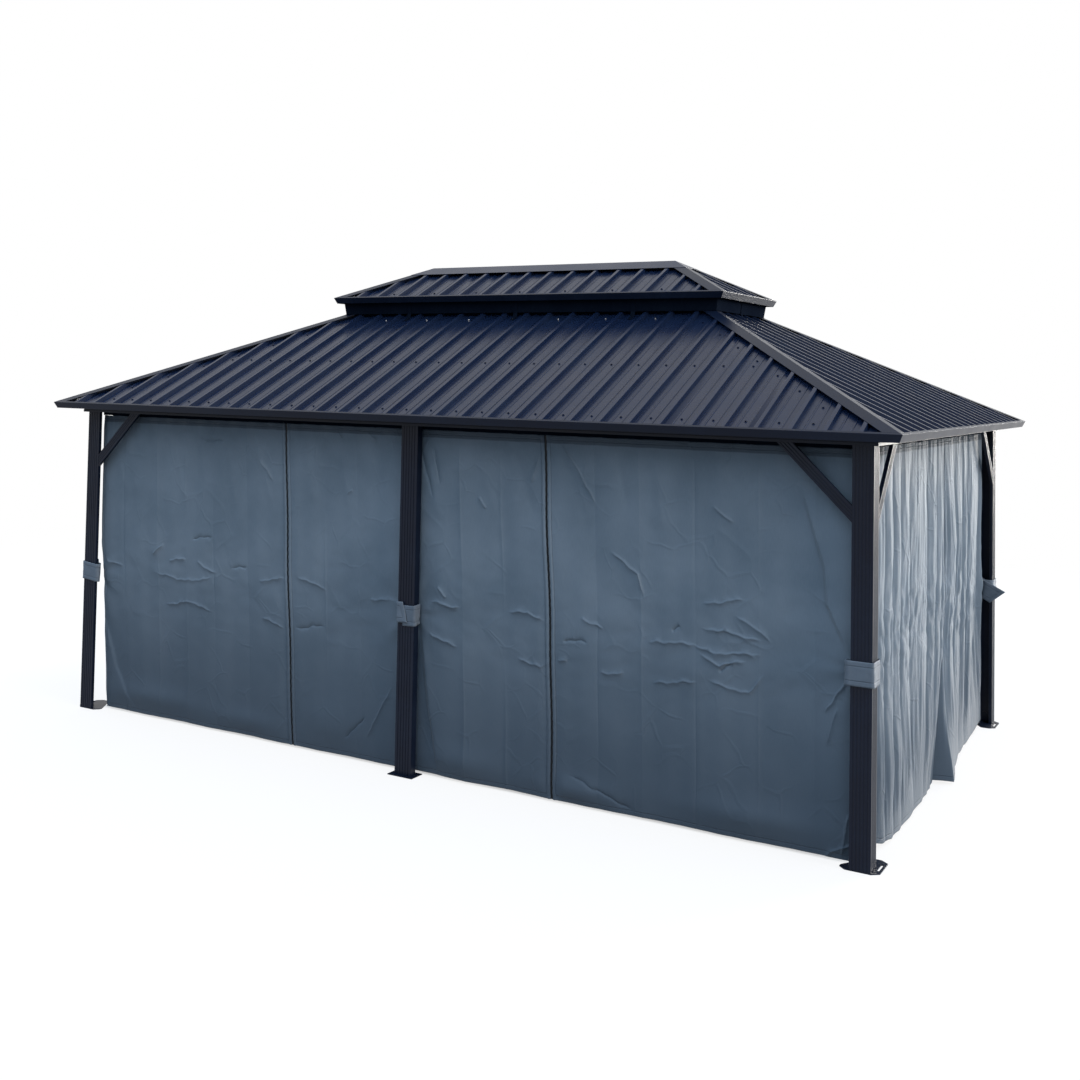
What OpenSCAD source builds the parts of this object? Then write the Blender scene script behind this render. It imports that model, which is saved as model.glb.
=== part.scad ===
// Hardtop garden gazebo with a two-tier metal roof, six posts and closed privacy curtains.
// Millimetres, +Z up, long side along X, origin on the ground at the centre of the plan.

/* [Plan and height] */
// Length over the outside of the posts
post_span_x = 5120; // [4400:10:6000]
// Width over the outside of the posts
post_span_y = 3300; // [2900:10:3800]
// Height of the underside of the beams
clear_h = 1950; // [1850:5:2300]

/* [Posts] */
// Width of each leg of an angle-shaped corner post
leg_w = 100; // [80:1:120]
// Thickness of each leg
leg_t = 20; // [18:1:28]
// Width of a middle post along the long side
mid_w = 108; // [90:1:140]
// Depth of a middle post
mid_d = 48; // [40:1:54]
// Wall of the post profiles
post_wall = 2.5; // [1.5:0.25:4]
// Width of a decorative flute
flute_w = 7; // [5:1:8]
// Depth of a flute
flute_d = 2.5; // [1.5:0.25:3]
// Number of flutes on a post's face
post_flutes = 5; // [2:1:6]
// Number of flutes on a brace
brace_flutes = 3; // [1:1:4]

/* [Feet] */
// Thickness of the foot plates
plate_t = 5; // [4:0.5:8]
// Reach of a corner plate beyond the post's outer end face
plate_out = 35; // [30:1:45]
// Reach of a corner plate past the inner ends of the legs
plate_in = 50; // [40:1:60]
// Corner chamfer of a corner plate
plate_chamfer = 30; // [20:1:40]
// Length of the anchor slot
slot_len = 90; // [60:1:110]
// Width of the anchor slot
slot_w = 11; // [9:0.5:13]
// Height of the upright tabs inside a corner post
tab_h = 62; // [40:1:80]
// Thickness of the upright tabs
tab_t = 4; // [3:0.5:6]
// Margin of a middle plate left and right of its post
mid_plate_side = 27; // [24:1:35]
// Margin of a middle plate in front of and behind its post
mid_plate_front = 31; // [24:1:40]
// Diameter of a middle plate's anchor holes
mid_hole_d = 9; // [7:0.5:12]

/* [Beams and braces] */
// Height of the beams
beam_h = 70; // [60:1:90]
// Width of the beams
beam_w = 105; // [100:1:125]
// Distance that the beams stand proud of the posts
beam_proud = 25; // [10:1:30]
// Wall of the hollow beams
beam_wall = 3; // [2:0.5:5]
// Height of the shadow groove along a beam's outer face
groove_h = 6; // [4:1:10]
// Distance of the groove from the beam's underside
groove_z = 14; // [8:1:24]
// Length that a corner brace takes up along post and beam
brace_len = 360; // [260:5:420]
// Width of a corner brace
brace_w = 55; // [40:1:80]

/* [Roof] */
// Slope of both roofs in degrees
pitch = 25; // [22:0.5:28]
// Distance from the posts' outside to the lower sheets' bottom edge
eave_out = 150; // [130:1:180]
// Height of the lower sheets' bottom edge above the beams' underside
eave_rise = 40; // [35:1:50]
// Width of the vent opening's frame, outside
vent_w = 800; // [600:10:1000]
// Width of the rafters
rafter_w = 40; // [30:1:50]
// Depth of the rafters, square to the slope
rafter_d = 45; // [35:1:50]
// Distance of the outer rafters from the middle of the long side
rafter_x = 880; // [700:10:1000]
// Width of the bars of the vent frames
bar_w = 40; // [30:1:50]
// Height of the vent frame's lip above the lower pans
vent_lip = 30; // [8:1:45]
// Height of the struts that lift the upper roof
strut_h = 65; // [50:1:120]
// Height of the upper frame's outer face
upper_bar_h = 45; // [35:1:60]
// Distance from the vent frame to the upper sheets' bottom edge
upper_out = 90; // [70:1:120]

/* [Roof sheets] */
// Spacing of the main ribs
rib_pitch = 163.5; // [140:0.5:190]
// Width of a rib at its base
rib_base = 34; // [28:1:40]
// Width of a rib at its top
rib_top = 20; // [14:1:24]
// Height of a rib
rib_h = 22; // [16:1:28]
// Thickness of the sheet
sheet_t = 2; // [1.5:0.25:3]
// Width of the small stiffening swages between the ribs
swage_w = 12; // [10:1:16]
// Height of the swages
swage_h = 2.5; // [2:0.25:4]
// Distance that the sheets stop short of a hip or ridge line
hip_gap = 12; // [8:1:20]

/* [Trim and caps] */
// Face height of the edge trims
trim_face = 42; // [34:1:50]
// Width of the trim's flange on the ribs
trim_flange = 16; // [14:1:40]
// Width of the trim's bottom return
trim_return = 14; // [8:1:20]
// Thickness of trims and caps
trim_t = 2; // [1.5:0.25:3]
// Half width of a hip or ridge cap in plan
cap_half = 55; // [45:1:70]
// Half thickness of the closure strips under the caps
closure_half = 3; // [2:0.5:6]

/* [Curtains] */
// Width of the curtain rail
rail_w = 20; // [16:1:26]
// Height of the curtain rail
rail_h = 20; // [16:1:26]
// Distance from the posts' outside to the middle of the rail
rail_in = 65; // [62:1:78]
// Thickness of the curtain cloth
cloth_t = 4; // [3:0.5:5]
// Height of the hems above the ground
hem_gap = 18; // [10:1:40]
// Distance of the zips from the middle of the long side
zip_x = 870; // [700:10:1000]
// Depth of the shallow waves in the long sides' curtains
side_wave = 4; // [2:0.5:5]
// Depth of the pleats in the end curtains
end_wave = 13; // [8:0.5:14]
// Spacing of the waves in the long sides' curtains
side_pleat = 410; // [300:10:600]
// Spacing of the pleats in the end curtains
end_pleat = 150; // [110:5:220]
// Distance of an end curtain's edge from the outside of the posts
end_edge = 150; // [130:5:220]
// Height at which the end curtains start to part
part_z = 1300; // [900:10:1600]
// Width of the parting at the hem
part_w = 270; // [0:10:400]
// Distance that an end curtain's outer edge is drawn in at the hem
draw_in = 170; // [0:10:300]
// Width of the tie straps
strap_w = 115; // [80:1:140]
// Height of the tie straps' bottom edge
strap_z = 845; // [600:5:1100]
// Thickness of the tie straps
strap_t = 3; // [2:0.5:4]
// Clearance of cloth from what it hangs on
cloth_gap = 0.3; // [0.2:0.1:0.5]

/* [Hidden] */
$fn = 48;

// Colours of the finishes
post_colour = "#2c2f36";
roof_colour = "#31384a";
trim_colour = "#3b4150";
inner_colour = "#3a3d42";
cloth_colour = "#5d6a78";
strap_colour = "#6d7884";

// Half sizes of the plan, over the posts and over the beams
px = post_span_x / 2;
py = post_span_y / 2;
bx = px + beam_proud;
by = py + beam_proud;
// The hips run at 45 degrees in plan, so the ridge takes up the difference of the sides
ridge_half = px - py;
// Height of the beams' top, where the rafters sit
beam_top = clear_h + beam_h;

// Lower roof: half width at the sheets' bottom edge, and the pans' height there
low_y = py + eave_out;
low_z = clear_h + eave_rise;
// Vent frame: half width and half length outside, and the pans' height at it
vent_y = vent_w / 2;
vent_x = vent_y + ridge_half;
vent_z = low_z + (low_y - vent_y) * tan(pitch);
vent_top = vent_z + vent_lip;
vent_bottom = vent_z - (sheet_t + rafter_d) / cos(pitch);
// Upper roof: half width at the sheets' bottom edge, and the pans' height there
up_y = vent_y + upper_out;
up_bottom = vent_top + strut_h;
up_z = up_bottom + upper_bar_h + sheet_t / cos(pitch) - upper_out * tan(pitch);
ridge_z = up_z + up_y * tan(pitch);
// Half width of the roof cut-outs, larger than the whole roof
far = px + 1000;
// Overlap of a cutting tool past the face that it cuts
cut = 1;

// Curtains hang between the rail and the hem
cloth_top = clear_h - rail_h - cloth_gap;
rail_y = py - rail_in;
rail_x = px - rail_in;

// Side 0 is the front, 1 the right end, 2 the back and 3 the left end
module on_side(side) { rotate([0, 0, 90 * side]) children(); }

// Mirrors a front right corner piece to the corner with the given signs
module at_corner(sx, sy) {
  mirror([sx > 0 ? 0 : 1, 0, 0]) mirror([0, sy < 0 ? 0 : 1, 0]) children();
}

// Angle outline of a corner post, with the outer corner at the origin and legs inwards
module angle_outline(w, t) {
  polygon([[0, 0], [-w, 0], [-w, t], [-t, t], [-t, w], [0, w]]);
}

// Row of flutes cut into the outer edge of a profile, starting at the origin along -X
module flutes(width, count) {
  for (i = [1 : count])
    translate([-width * i / (count + 1) - flute_w / 2, -cut]) square([flute_w, flute_d + cut]);
}

// Hollow angle profile with flutes on both outer faces
module corner_profile() {
  skin = flute_d + post_wall;
  difference() {
    angle_outline(leg_w, leg_t);
    flutes(leg_w, post_flutes);
    mirror([1, 1]) flutes(leg_w, post_flutes);
    polygon([
      [-skin, skin], [post_wall - leg_w, skin], [post_wall - leg_w, leg_t - post_wall],
      [post_wall - leg_t, leg_t - post_wall], [post_wall - leg_t, leg_w - post_wall],
      [-skin, leg_w - post_wall]
    ]);
  }
}

// Corner post standing on its foot plate
module corner_post(sx, sy) {
  color(post_colour) at_corner(sx, sy)
    translate([px, -py, plate_t]) linear_extrude(clear_h - plate_t) corner_profile();
}

// Flat tube in the middle of a long side, fluted on its outer face
module middle_post(side) {
  skin = flute_d + post_wall;
  color(post_colour) on_side(side)
    translate([mid_w / 2, -py, plate_t]) linear_extrude(clear_h - plate_t) difference() {
      translate([-mid_w, 0]) square([mid_w, mid_d]);
      flutes(mid_w, post_flutes);
      translate([post_wall - mid_w, skin]) square([mid_w - 2 * post_wall, mid_d - skin - post_wall]);
    }
}

// Upright tab with a rounded top, standing on the XZ plane
module upright_tab(width) {
  rotate([90, 0, 0]) linear_extrude(tab_t) {
    square([width, tab_h - width / 2]);
    translate([width / 2, tab_h - width / 2]) circle(width / 2);
  }
}

// Corner foot: plate under the angle post, anchor slot outside, two tabs inside the legs
module corner_foot() {
  tab_w = (leg_w - leg_t) / 2;
  difference() {
    translate([px, -py]) linear_extrude(plate_t) difference() {
      polygon([
        [-leg_w - plate_in + plate_chamfer, 0], [0, 0], [plate_out, plate_chamfer],
        [plate_out, leg_w + plate_in + plate_chamfer], [0, leg_w + plate_in + 2 * plate_chamfer],
        [-leg_t - plate_chamfer, leg_w + plate_in + 2 * plate_chamfer],
        [-leg_w - plate_in, leg_t + plate_chamfer], [-leg_w - plate_in, plate_chamfer]
      ]);
    }
    translate([px + plate_out / 2, -py + foot_slot_y(), -cut]) linear_extrude(plate_t + 2 * cut) {
      square([slot_w, slot_len - slot_w], center = true);
      for (end = [-1, 1]) translate([0, end * (slot_len - slot_w) / 2]) circle(d = slot_w);
    }
  }
  translate([px - leg_w + tab_w / 2, -py + leg_t + tab_t, plate_t]) upright_tab(tab_w);
  translate([px - leg_t - tab_t, -py + leg_w - tab_w * 3 / 2, plate_t]) rotate([0, 0, 90]) upright_tab(tab_w);
}

// Distance of the anchor slot's middle from the outer face of the post
function foot_slot_y() = (leg_w + plate_in + 2 * plate_chamfer) / 2;

module corner_feet() {
  color(post_colour) for (sx = [-1, 1], sy = [-1, 1]) at_corner(sx, sy) corner_foot();
}

// Plates under the two middle posts, with an anchor hole at each end
module middle_feet() {
  size = [mid_w + 2 * mid_plate_side, mid_d + 2 * mid_plate_front];
  color(post_colour) for (side = [0, 2]) on_side(side) translate([0, mid_d / 2 - py, 0]) difference() {
    translate([-size[0] / 2, -size[1] / 2, 0]) cube([size[0], size[1], plate_t]);
    for (end = [-1, 1])
      translate([end * (mid_w + mid_plate_side) / 2, 0, -cut]) cylinder(d = mid_hole_d, h = plate_t + 2 * cut);
  }
}

// Half length of a side's beam and its distance from the middle
function beam_half(side) = side % 2 == 0 ? bx : by;
function beam_dist(side) = side % 2 == 0 ? by : bx;

// Hollow beam on top of the posts, mitred at both ends
module beam(side) {
  half = beam_half(side);
  dist = beam_dist(side);
  color(post_colour) on_side(side) intersection() {
    translate([-half, -dist, clear_h]) difference() {
      cube([2 * half, beam_w, beam_h]);
      translate([-cut, beam_wall, beam_wall])
        cube([2 * (half + cut), beam_w - 2 * beam_wall, beam_h - 2 * beam_wall]);
      translate([-cut, -cut, groove_z]) cube([2 * (half + cut), cut + beam_wall / 2, groove_h]);
    }
    translate([0, 0, clear_h - cut]) linear_extrude(beam_h + 2 * cut)
      polygon([[-half, -dist], [half, -dist], [half - beam_w, beam_w - dist], [beam_w - half, beam_w - dist]]);
  }
}

// Fluted brace at 45 degrees between the right hand post of a side and its beam
module brace(leg_end, face) {
  length = 2 * brace_len;
  intersection() {
    translate([leg_end - brace_len, face, clear_h]) rotate([0, 45, 0]) rotate([0, 90, 0])
      translate([0, 0, -length / 4]) linear_extrude(length) difference() {
        translate([-brace_w, 0]) square([brace_w, leg_t]);
        flutes(brace_w, brace_flutes);
      }
    translate([leg_end - length, face - cut, clear_h - length]) cube([length, leg_t + 2 * cut, length]);
  }
}

module braces(side) {
  leg_end = (side % 2 == 0 ? px : py) - leg_w;
  face = -(side % 2 == 0 ? py : px);
  color(post_colour) on_side(side) for (sx = [0, 1]) mirror([sx, 0, 0]) brace(leg_end, face);
}

// Curtain rails under the inner edge of the beams
module curtain_rails() {
  long_half = px - leg_w + leg_t;
  end_half = py - leg_w + leg_t / 2;
  color(inner_colour) translate([0, 0, clear_h - rail_h]) {
    for (side = [0, 2]) on_side(side)
      translate([-long_half, -rail_y - rail_w / 2, 0]) cube([2 * long_half, rail_w, rail_h]);
    for (side = [1, 3]) on_side(side)
      translate([-end_half, -rail_x - rail_w / 2, 0]) cube([2 * end_half, rail_w, rail_h]);
  }
}

// Everything under a hipped roof whose pans start at half width y and height z,
// raised square to the slope by the given distance
module under_roof(y, z, raise) {
  base = z + raise / cos(pitch);
  rise = tan(pitch);
  intersection() {
    rotate([90, 0, 90]) translate([0, 0, -far]) linear_extrude(2 * far)
      polygon([[-y - far, 0], [-y - far, base - far * rise], [0, base + y * rise], [y + far, base - far * rise], [y + far, 0]]);
    rotate([90, 0, 0]) translate([0, 0, -far]) linear_extrude(2 * far)
      polygon([
        [-y - ridge_half - far, 0], [-y - ridge_half - far, base - far * rise],
        [0, base + (y + ridge_half) * rise],
        [y + ridge_half + far, base - far * rise], [y + ridge_half + far, 0]
      ]);
  }
}

// Layer between two heights above the pans of the lower or the upper roof
module low_layer(from, to) {
  difference() { under_roof(low_y, low_z, to); under_roof(low_y, low_z, from); }
}
module up_layer(from, to) {
  difference() { under_roof(up_y, up_z, to); under_roof(up_y, up_z, from); }
}

// Upright block with half sizes x and y, over the whole height
module block(x, y) { translate([-x, -y, 0]) cube([2 * x, 2 * y, ridge_z + 2 * far]); }

// Strip along the hip of the front right corner in plan, kept on its own side of the middle
module hip_strip(half) {
  keep = cut / 2;
  intersection() {
    translate([ridge_half, 0, 0]) rotate([0, 0, -45]) translate([0, -half, 0])
      cube([2 * far, 2 * half, ridge_z + 2 * far]);
    translate([0, -far - keep, 0]) cube([2 * far, far, ridge_z + 2 * far]);
  }
}

// One piece at each of the four hips
module at_hips() {
  for (sx = [-1, 1], sy = [-1, 1]) at_corner(sx, sy) children();
}

// Rafters lie under the pans, notched over the beams, and end at the vent frame
module rafter_zone() {
  intersection() {
    low_layer(-sheet_t - rafter_d, -sheet_t);
    difference() {
      translate([-bx, -by, beam_top]) cube([2 * bx, 2 * by, far]);
      block(vent_x, vent_y);
    }
  }
}

module hip_rafters() {
  color(inner_colour) at_hips() intersection() { rafter_zone(); hip_strip(rafter_w / 2); }
}

module side_rafters() {
  color(inner_colour) for (side = [0, 2], x = [-rafter_x, 0, rafter_x]) intersection() {
    rafter_zone();
    on_side(side) translate([x - rafter_w / 2, -far, 0]) cube([rafter_w, far, 2 * far]);
  }
}

module end_rafters() {
  color(inner_colour) for (side = [1, 3]) intersection() {
    rafter_zone();
    on_side(side) translate([-rafter_w / 2, -far, 0]) cube([rafter_w, far, 2 * far]);
  }
}

// Trapezoid bump in a sheet's outline, thinned on the inside by the sheet
function bump(x, base, top, h, inset, drop) = [
  [x - base / 2 + inset, -drop], [x - top / 2 + inset * 0.7, h - drop],
  [x + top / 2 - inset * 0.7, h - drop], [x + base / 2 - inset, -drop]
];

// One face of the folded sheet: ribs at half steps from the middle, two swages after each
function sheet_face(n, inset, drop) = [
  for (i = [-n : n - 1]) for (p = concat(
    bump((i + 1 / 2) * rib_pitch, rib_base, rib_top, rib_h, inset, drop),
    i == n - 1 ? [] : bump((i + 5 / 6) * rib_pitch, swage_w, swage_w / 2, swage_h, inset / 2, drop),
    i == n - 1 ? [] : bump((i + 7 / 6) * rib_pitch, swage_w, swage_w / 2, swage_h, inset / 2, drop)
  )) p
];

function reversed(list) = [for (i = [len(list) - 1 : -1 : 0]) list[i]];

// Folded sheet of one slope, cut along the hips. The eave runs along X at distance y,
// half its length is half, and the sheet ends at distance top from the middle.
module roof_sheet(half, y, z, top) {
  n = floor((half - rib_base) / rib_pitch + 1 / 2);
  length = (y - top) / cos(pitch) + rib_h;
  edge = half + rib_base;
  lean = half - y - hip_gap * sqrt(2);
  out = y + rib_h;
  intersection() {
    translate([0, -y, z]) rotate([90 + pitch, 0, 0]) translate([0, 0, -length]) linear_extrude(length)
      polygon(concat(
        [[-edge, 0]], sheet_face(n, 0, 0), [[edge, 0], [edge, -sheet_t]],
        reversed(sheet_face(n, sheet_t * 0.8, sheet_t)), [[-edge, -sheet_t]]
      ));
    linear_extrude(ridge_z + far)
      polygon([[-out - lean, -out], [out + lean, -out], [top + lean, -top], [-top - lean, -top]]);
  }
}

module lower_roof(side) {
  long = side % 2 == 0;
  color(roof_colour) on_side(side) roof_sheet(
    low_y + (long ? ridge_half : 0), low_y + (long ? 0 : ridge_half), low_z,
    long ? vent_y : vent_x);
}

module upper_roof(side) {
  long = side % 2 == 0;
  color(roof_colour) on_side(side) roof_sheet(
    up_y + (long ? ridge_half : 0), up_y + (long ? 0 : ridge_half), up_z,
    (long ? 0 : ridge_half) + hip_gap * sqrt(2));
}

module upper_roof_sides() { for (side = [0, 2]) upper_roof(side); }
module upper_roof_ends() { for (side = [1, 3]) upper_roof(side); }

// Edge trim: flange on the ribs, face square to the slope, small return below; mitred ends
module edge_trim(half, y, z) {
  lean = half - y;
  out = y + trim_face;
  in = y - trim_flange - trim_face;
  top = rib_h + trim_t;
  color(trim_colour) intersection() {
    translate([0, -y, z]) rotate([90 + pitch, 0, 0]) rotate([0, 90, 0])
      translate([0, 0, -out - lean]) linear_extrude(2 * (out + lean)) polygon([
        [-trim_t, top], [-trim_t, top - trim_face], [trim_return, top - trim_face],
        [trim_return, top - trim_face + trim_t], [0, top - trim_face + trim_t],
        [0, rib_h], [trim_flange, rib_h], [trim_flange, top]
      ]);
    linear_extrude(ridge_z + far)
      polygon([[-out - lean, -out], [out + lean, -out], [in + lean, -in], [-in - lean, -in]]);
  }
}

module eave_trim(side) {
  long = side % 2 == 0;
  on_side(side) edge_trim(low_y + (long ? ridge_half : 0), low_y + (long ? 0 : ridge_half), low_z);
}

module upper_trim(side) {
  long = side % 2 == 0;
  on_side(side) edge_trim(up_y + (long ? ridge_half : 0), up_y + (long ? 0 : ridge_half), up_z);
}

module upper_trim_sides() { for (side = [0, 2]) upper_trim(side); }
module upper_trim_ends() { for (side = [1, 3]) upper_trim(side); }

// Distance in plan from the sheets' bottom edge to the inner edge of the trim's flange
function flange_in() = trim_flange * cos(pitch) - rib_h * sin(pitch);

// Folded caps along the hips, on the ribs, from the trim's flange to the vent frame.
// A closure strip between the sheets carries each cap and keeps rain and light out.
module lower_hip_caps() {
  reach = low_y - flange_in();
  color(trim_colour) at_hips() intersection() {
    union() {
      intersection() { low_layer(rib_h, rib_h + trim_t); hip_strip(cap_half); }
      intersection() { low_layer(-sheet_t, rib_h + trim_t / 2); hip_strip(closure_half); }
    }
    difference() { block(reach + ridge_half, reach); block(vent_x, vent_y); }
  }
}

module upper_hip_caps() {
  reach = up_y - flange_in();
  color(trim_colour) at_hips() intersection() {
    union() {
      intersection() { up_layer(rib_h, rib_h + trim_t); hip_strip(cap_half); }
      intersection() { up_layer(-sheet_t, rib_h + trim_t / 2); hip_strip(closure_half); }
    }
    difference() { block(reach + ridge_half, reach); block(ridge_half + cap_half, cap_half); }
  }
}

module ridge_cap() {
  color(trim_colour) {
    intersection() { up_layer(rib_h, rib_h + trim_t); block(ridge_half + cap_half, cap_half); }
    intersection() { up_layer(-sheet_t, rib_h + trim_t / 2); block(ridge_half, closure_half); }
  }
}

// Bars round the vent opening; the end bars fit between the long ones
module side_bars(bottom, top) {
  for (side = [0, 2]) on_side(side)
    translate([-vent_x, -vent_y, bottom]) cube([2 * vent_x, bar_w, top - bottom]);
}
module end_bars(bottom, top) {
  for (side = [1, 3]) on_side(side)
    translate([bar_w - vent_y, -vent_x, bottom]) cube([2 * (vent_y - bar_w), bar_w, top - bottom]);
}

module vent_ring_sides() { color(inner_colour) side_bars(vent_bottom, vent_top); }
module vent_ring_ends() { color(inner_colour) end_bars(vent_bottom, vent_top); }

// Upper frame: the same bars, bevelled on top to carry the upper sheets
module upper_frame_sides() {
  color(inner_colour) intersection() { side_bars(up_bottom, ridge_z); under_roof(up_y, up_z, -sheet_t); }
}
module upper_frame_ends() {
  color(inner_colour) intersection() { end_bars(up_bottom, ridge_z); under_roof(up_y, up_z, -sheet_t); }
}

// Short struts that hold the upper frame over the vent ring
module vent_struts() {
  in = bar_w / 2;
  color(inner_colour) translate([-in, -in, vent_top]) {
    for (x = [in - vent_x, -rafter_x, 0, rafter_x, vent_x - in], y = [in - vent_y, vent_y - in])
      translate([x, y, 0]) cube([bar_w, bar_w, strut_h]);
    for (x = [in - vent_x, vent_x - in]) translate([x, 0, 0]) cube([bar_w, bar_w, strut_h]);
  }
}

// Ridge beam under the upper sheets, and hip rafters from its ends to the upper frame
module ridge_beam() {
  end = ridge_half + 2 * rafter_w;
  color(inner_colour) intersection() {
    under_roof(up_y, up_z, -sheet_t);
    translate([-end, -rafter_w / 2, ridge_z - 2 * rafter_d]) cube([2 * end, rafter_w, 2 * rafter_d]);
  }
}

module upper_hip_rafters() {
  color(inner_colour) at_hips() intersection() {
    up_layer(-sheet_t - rafter_d, -sheet_t);
    hip_strip(rafter_w / 2);
    difference() { block(vent_x - bar_w, vent_y - bar_w); block(far, rafter_w / 2); }
  }
}

// Wavy strip of cloth in plan, from x0 to x1 about the line y = 0
module wavy_strip(x0, x1, wave, pleat) {
  turns = max(1, round((x1 - x0) / pleat));
  steps = 8 * turns;
  line = [for (i = [0 : steps]) [x0 + (x1 - x0) * i / steps, wave * sin(360 * turns * i / steps)]];
  polygon(concat(
    [for (p = line) p - [0, cloth_t / 2]],
    reversed([for (p = line) p + [0, cloth_t / 2]])
  ));
}

// Three panels on a long side, meeting at the zips
module side_curtains(side) {
  edge = px - leg_w + leg_t;
  color(cloth_colour) on_side(side) translate([0, -rail_y, hem_gap]) linear_extrude(cloth_top - hem_gap) {
    wavy_strip(-edge, -zip_x - cloth_gap, side_wave, side_pleat);
    wavy_strip(cloth_gap - zip_x, zip_x - cloth_gap, side_wave, side_pleat);
    wavy_strip(zip_x + cloth_gap, edge, side_wave, side_pleat);
  }
}

module front_curtains() { side_curtains(0); }
module back_curtains() { side_curtains(2); }

// Two pleated panels on an end, parting in the middle towards the hem
module end_curtains(side) {
  edge = py - end_edge;
  color(cloth_colour) on_side(side) for (half = [0, 1]) mirror([half, 0, 0]) intersection() {
    translate([0, -rail_x, hem_gap]) linear_extrude(cloth_top - hem_gap)
      wavy_strip(-edge, -cloth_gap, end_wave, end_pleat);
    rotate([90, 0, 0]) linear_extrude(2 * far) polygon([
      [-edge - cut, cloth_top + cut], [-cloth_gap, cloth_top + cut], [-cloth_gap, part_z],
      [-cloth_gap - part_w / 2, 0], [draw_in - edge, 0], [-edge - cut, clear_h - brace_len]
    ]);
  }
}

module left_curtains() { end_curtains(3); }
module right_curtains() { end_curtains(1); }

// Outline round a corner post's convex shape, at the given distance from it
module corner_wrap(gap) {
  turn = gap * (sqrt(2) - 1);
  polygon([
    [gap, -gap], [-leg_w - gap, -gap], [-leg_w - gap, leg_t + turn],
    [-leg_t - turn, leg_w + gap], [gap, leg_w + gap]
  ]);
}

// Loops of webbing round each post, which hold the drawn curtains back
module tie_straps() {
  color(strap_colour) translate([0, 0, strap_z]) {
    at_hips() translate([px, -py, 0]) linear_extrude(strap_w) difference() {
      corner_wrap(cloth_gap + strap_t);
      corner_wrap(cloth_gap);
    }
    for (side = [0, 2]) on_side(side) translate([0, mid_d / 2 - py, 0]) linear_extrude(strap_w) difference() {
      square([mid_w + 2 * (cloth_gap + strap_t), mid_d + 2 * (cloth_gap + strap_t)], center = true);
      square([mid_w + 2 * cloth_gap, mid_d + 2 * cloth_gap], center = true);
    }
  }
}

corner_post(-1, -1);  // post_front_left
corner_post(1, -1);  // post_front_right
corner_post(-1, 1);  // post_back_left
corner_post(1, 1);  // post_back_right
middle_post(0);  // post_front_middle
middle_post(2);  // post_back_middle
corner_feet();
middle_feet();
beam(0);  // beam_front
beam(2);  // beam_back
beam(3);  // beam_left
beam(1);  // beam_right
braces(0);  // front_braces
braces(2);  // back_braces
braces(3);  // left_braces
braces(1);  // right_braces
curtain_rails();
hip_rafters();
side_rafters();
end_rafters();
lower_roof(0);  // lower_roof_front
lower_roof(2);  // lower_roof_back
lower_roof(3);  // lower_roof_left
lower_roof(1);  // lower_roof_right
eave_trim(0);  // eave_trim_front
eave_trim(2);  // eave_trim_back
eave_trim(3);  // eave_trim_left
eave_trim(1);  // eave_trim_right
lower_hip_caps();
vent_ring_sides();
vent_ring_ends();
vent_struts();
upper_frame_sides();
upper_frame_ends();
upper_hip_rafters();
ridge_beam();
upper_roof_sides();
upper_roof_ends();
upper_trim_sides();
upper_trim_ends();
upper_hip_caps();
ridge_cap();
front_curtains();
back_curtains();
left_curtains();
right_curtains();
tie_straps();
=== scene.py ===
# %% [markdown]
# # A hardtop gazebo with closed curtains
# The CAD model gives every post, beam, rafter and roof sheet its true place.
# This lesson dresses it: painted metal with fine rounded edges, rows of roof
# screws, curtains of woven polyester with their folds, zips and tie straps.
# Everything is in metres, with the ground at z = 0 and the front at -Y.

# %% Load the CAD frame
import math

import bmesh
import bpy
import numpy as np
from mathutils import Matrix, Vector, noise


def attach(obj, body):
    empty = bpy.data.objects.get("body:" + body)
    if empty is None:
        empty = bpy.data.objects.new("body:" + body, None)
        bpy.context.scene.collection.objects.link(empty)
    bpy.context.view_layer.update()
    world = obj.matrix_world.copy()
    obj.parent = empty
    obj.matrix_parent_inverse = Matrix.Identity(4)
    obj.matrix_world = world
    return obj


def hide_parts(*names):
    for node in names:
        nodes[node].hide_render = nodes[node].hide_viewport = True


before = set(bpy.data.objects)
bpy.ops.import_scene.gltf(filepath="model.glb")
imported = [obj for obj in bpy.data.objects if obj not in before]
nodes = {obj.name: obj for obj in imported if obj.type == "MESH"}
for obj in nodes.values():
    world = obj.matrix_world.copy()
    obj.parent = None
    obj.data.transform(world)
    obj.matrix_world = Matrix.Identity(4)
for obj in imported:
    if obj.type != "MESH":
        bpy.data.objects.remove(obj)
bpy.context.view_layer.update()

# %% [markdown]
# ## Camera
# The photograph was taken from the front right, a little above eye height. Its
# lens centre is not the middle of the picture, which a camera shift reproduces,
# so that the posts stay upright. The numbers come from fitting a plain pinhole
# camera to corners of the posts, the eaves and the ridge.

# %% Camera at the photograph's place
IMAGE_SIZE = 1080
FOCAL_PX = 1308.1
CENTRE_PX = (445.9, 331.1)
CAMERA_PLACE = Vector((4.0572, -7.8262, 2.2172))
YAW, PITCH, ROLL = 0.5553, 0.0365, 0.0207

level = Vector((math.cos(YAW), math.sin(YAW), 0))
ahead = Vector((-math.sin(YAW) * math.cos(PITCH), math.cos(YAW) * math.cos(PITCH), math.sin(PITCH)))
upright = level.cross(ahead)
right_axis = level * math.cos(ROLL) + upright * math.sin(ROLL)
up_axis = upright * math.cos(ROLL) - level * math.sin(ROLL)

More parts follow.
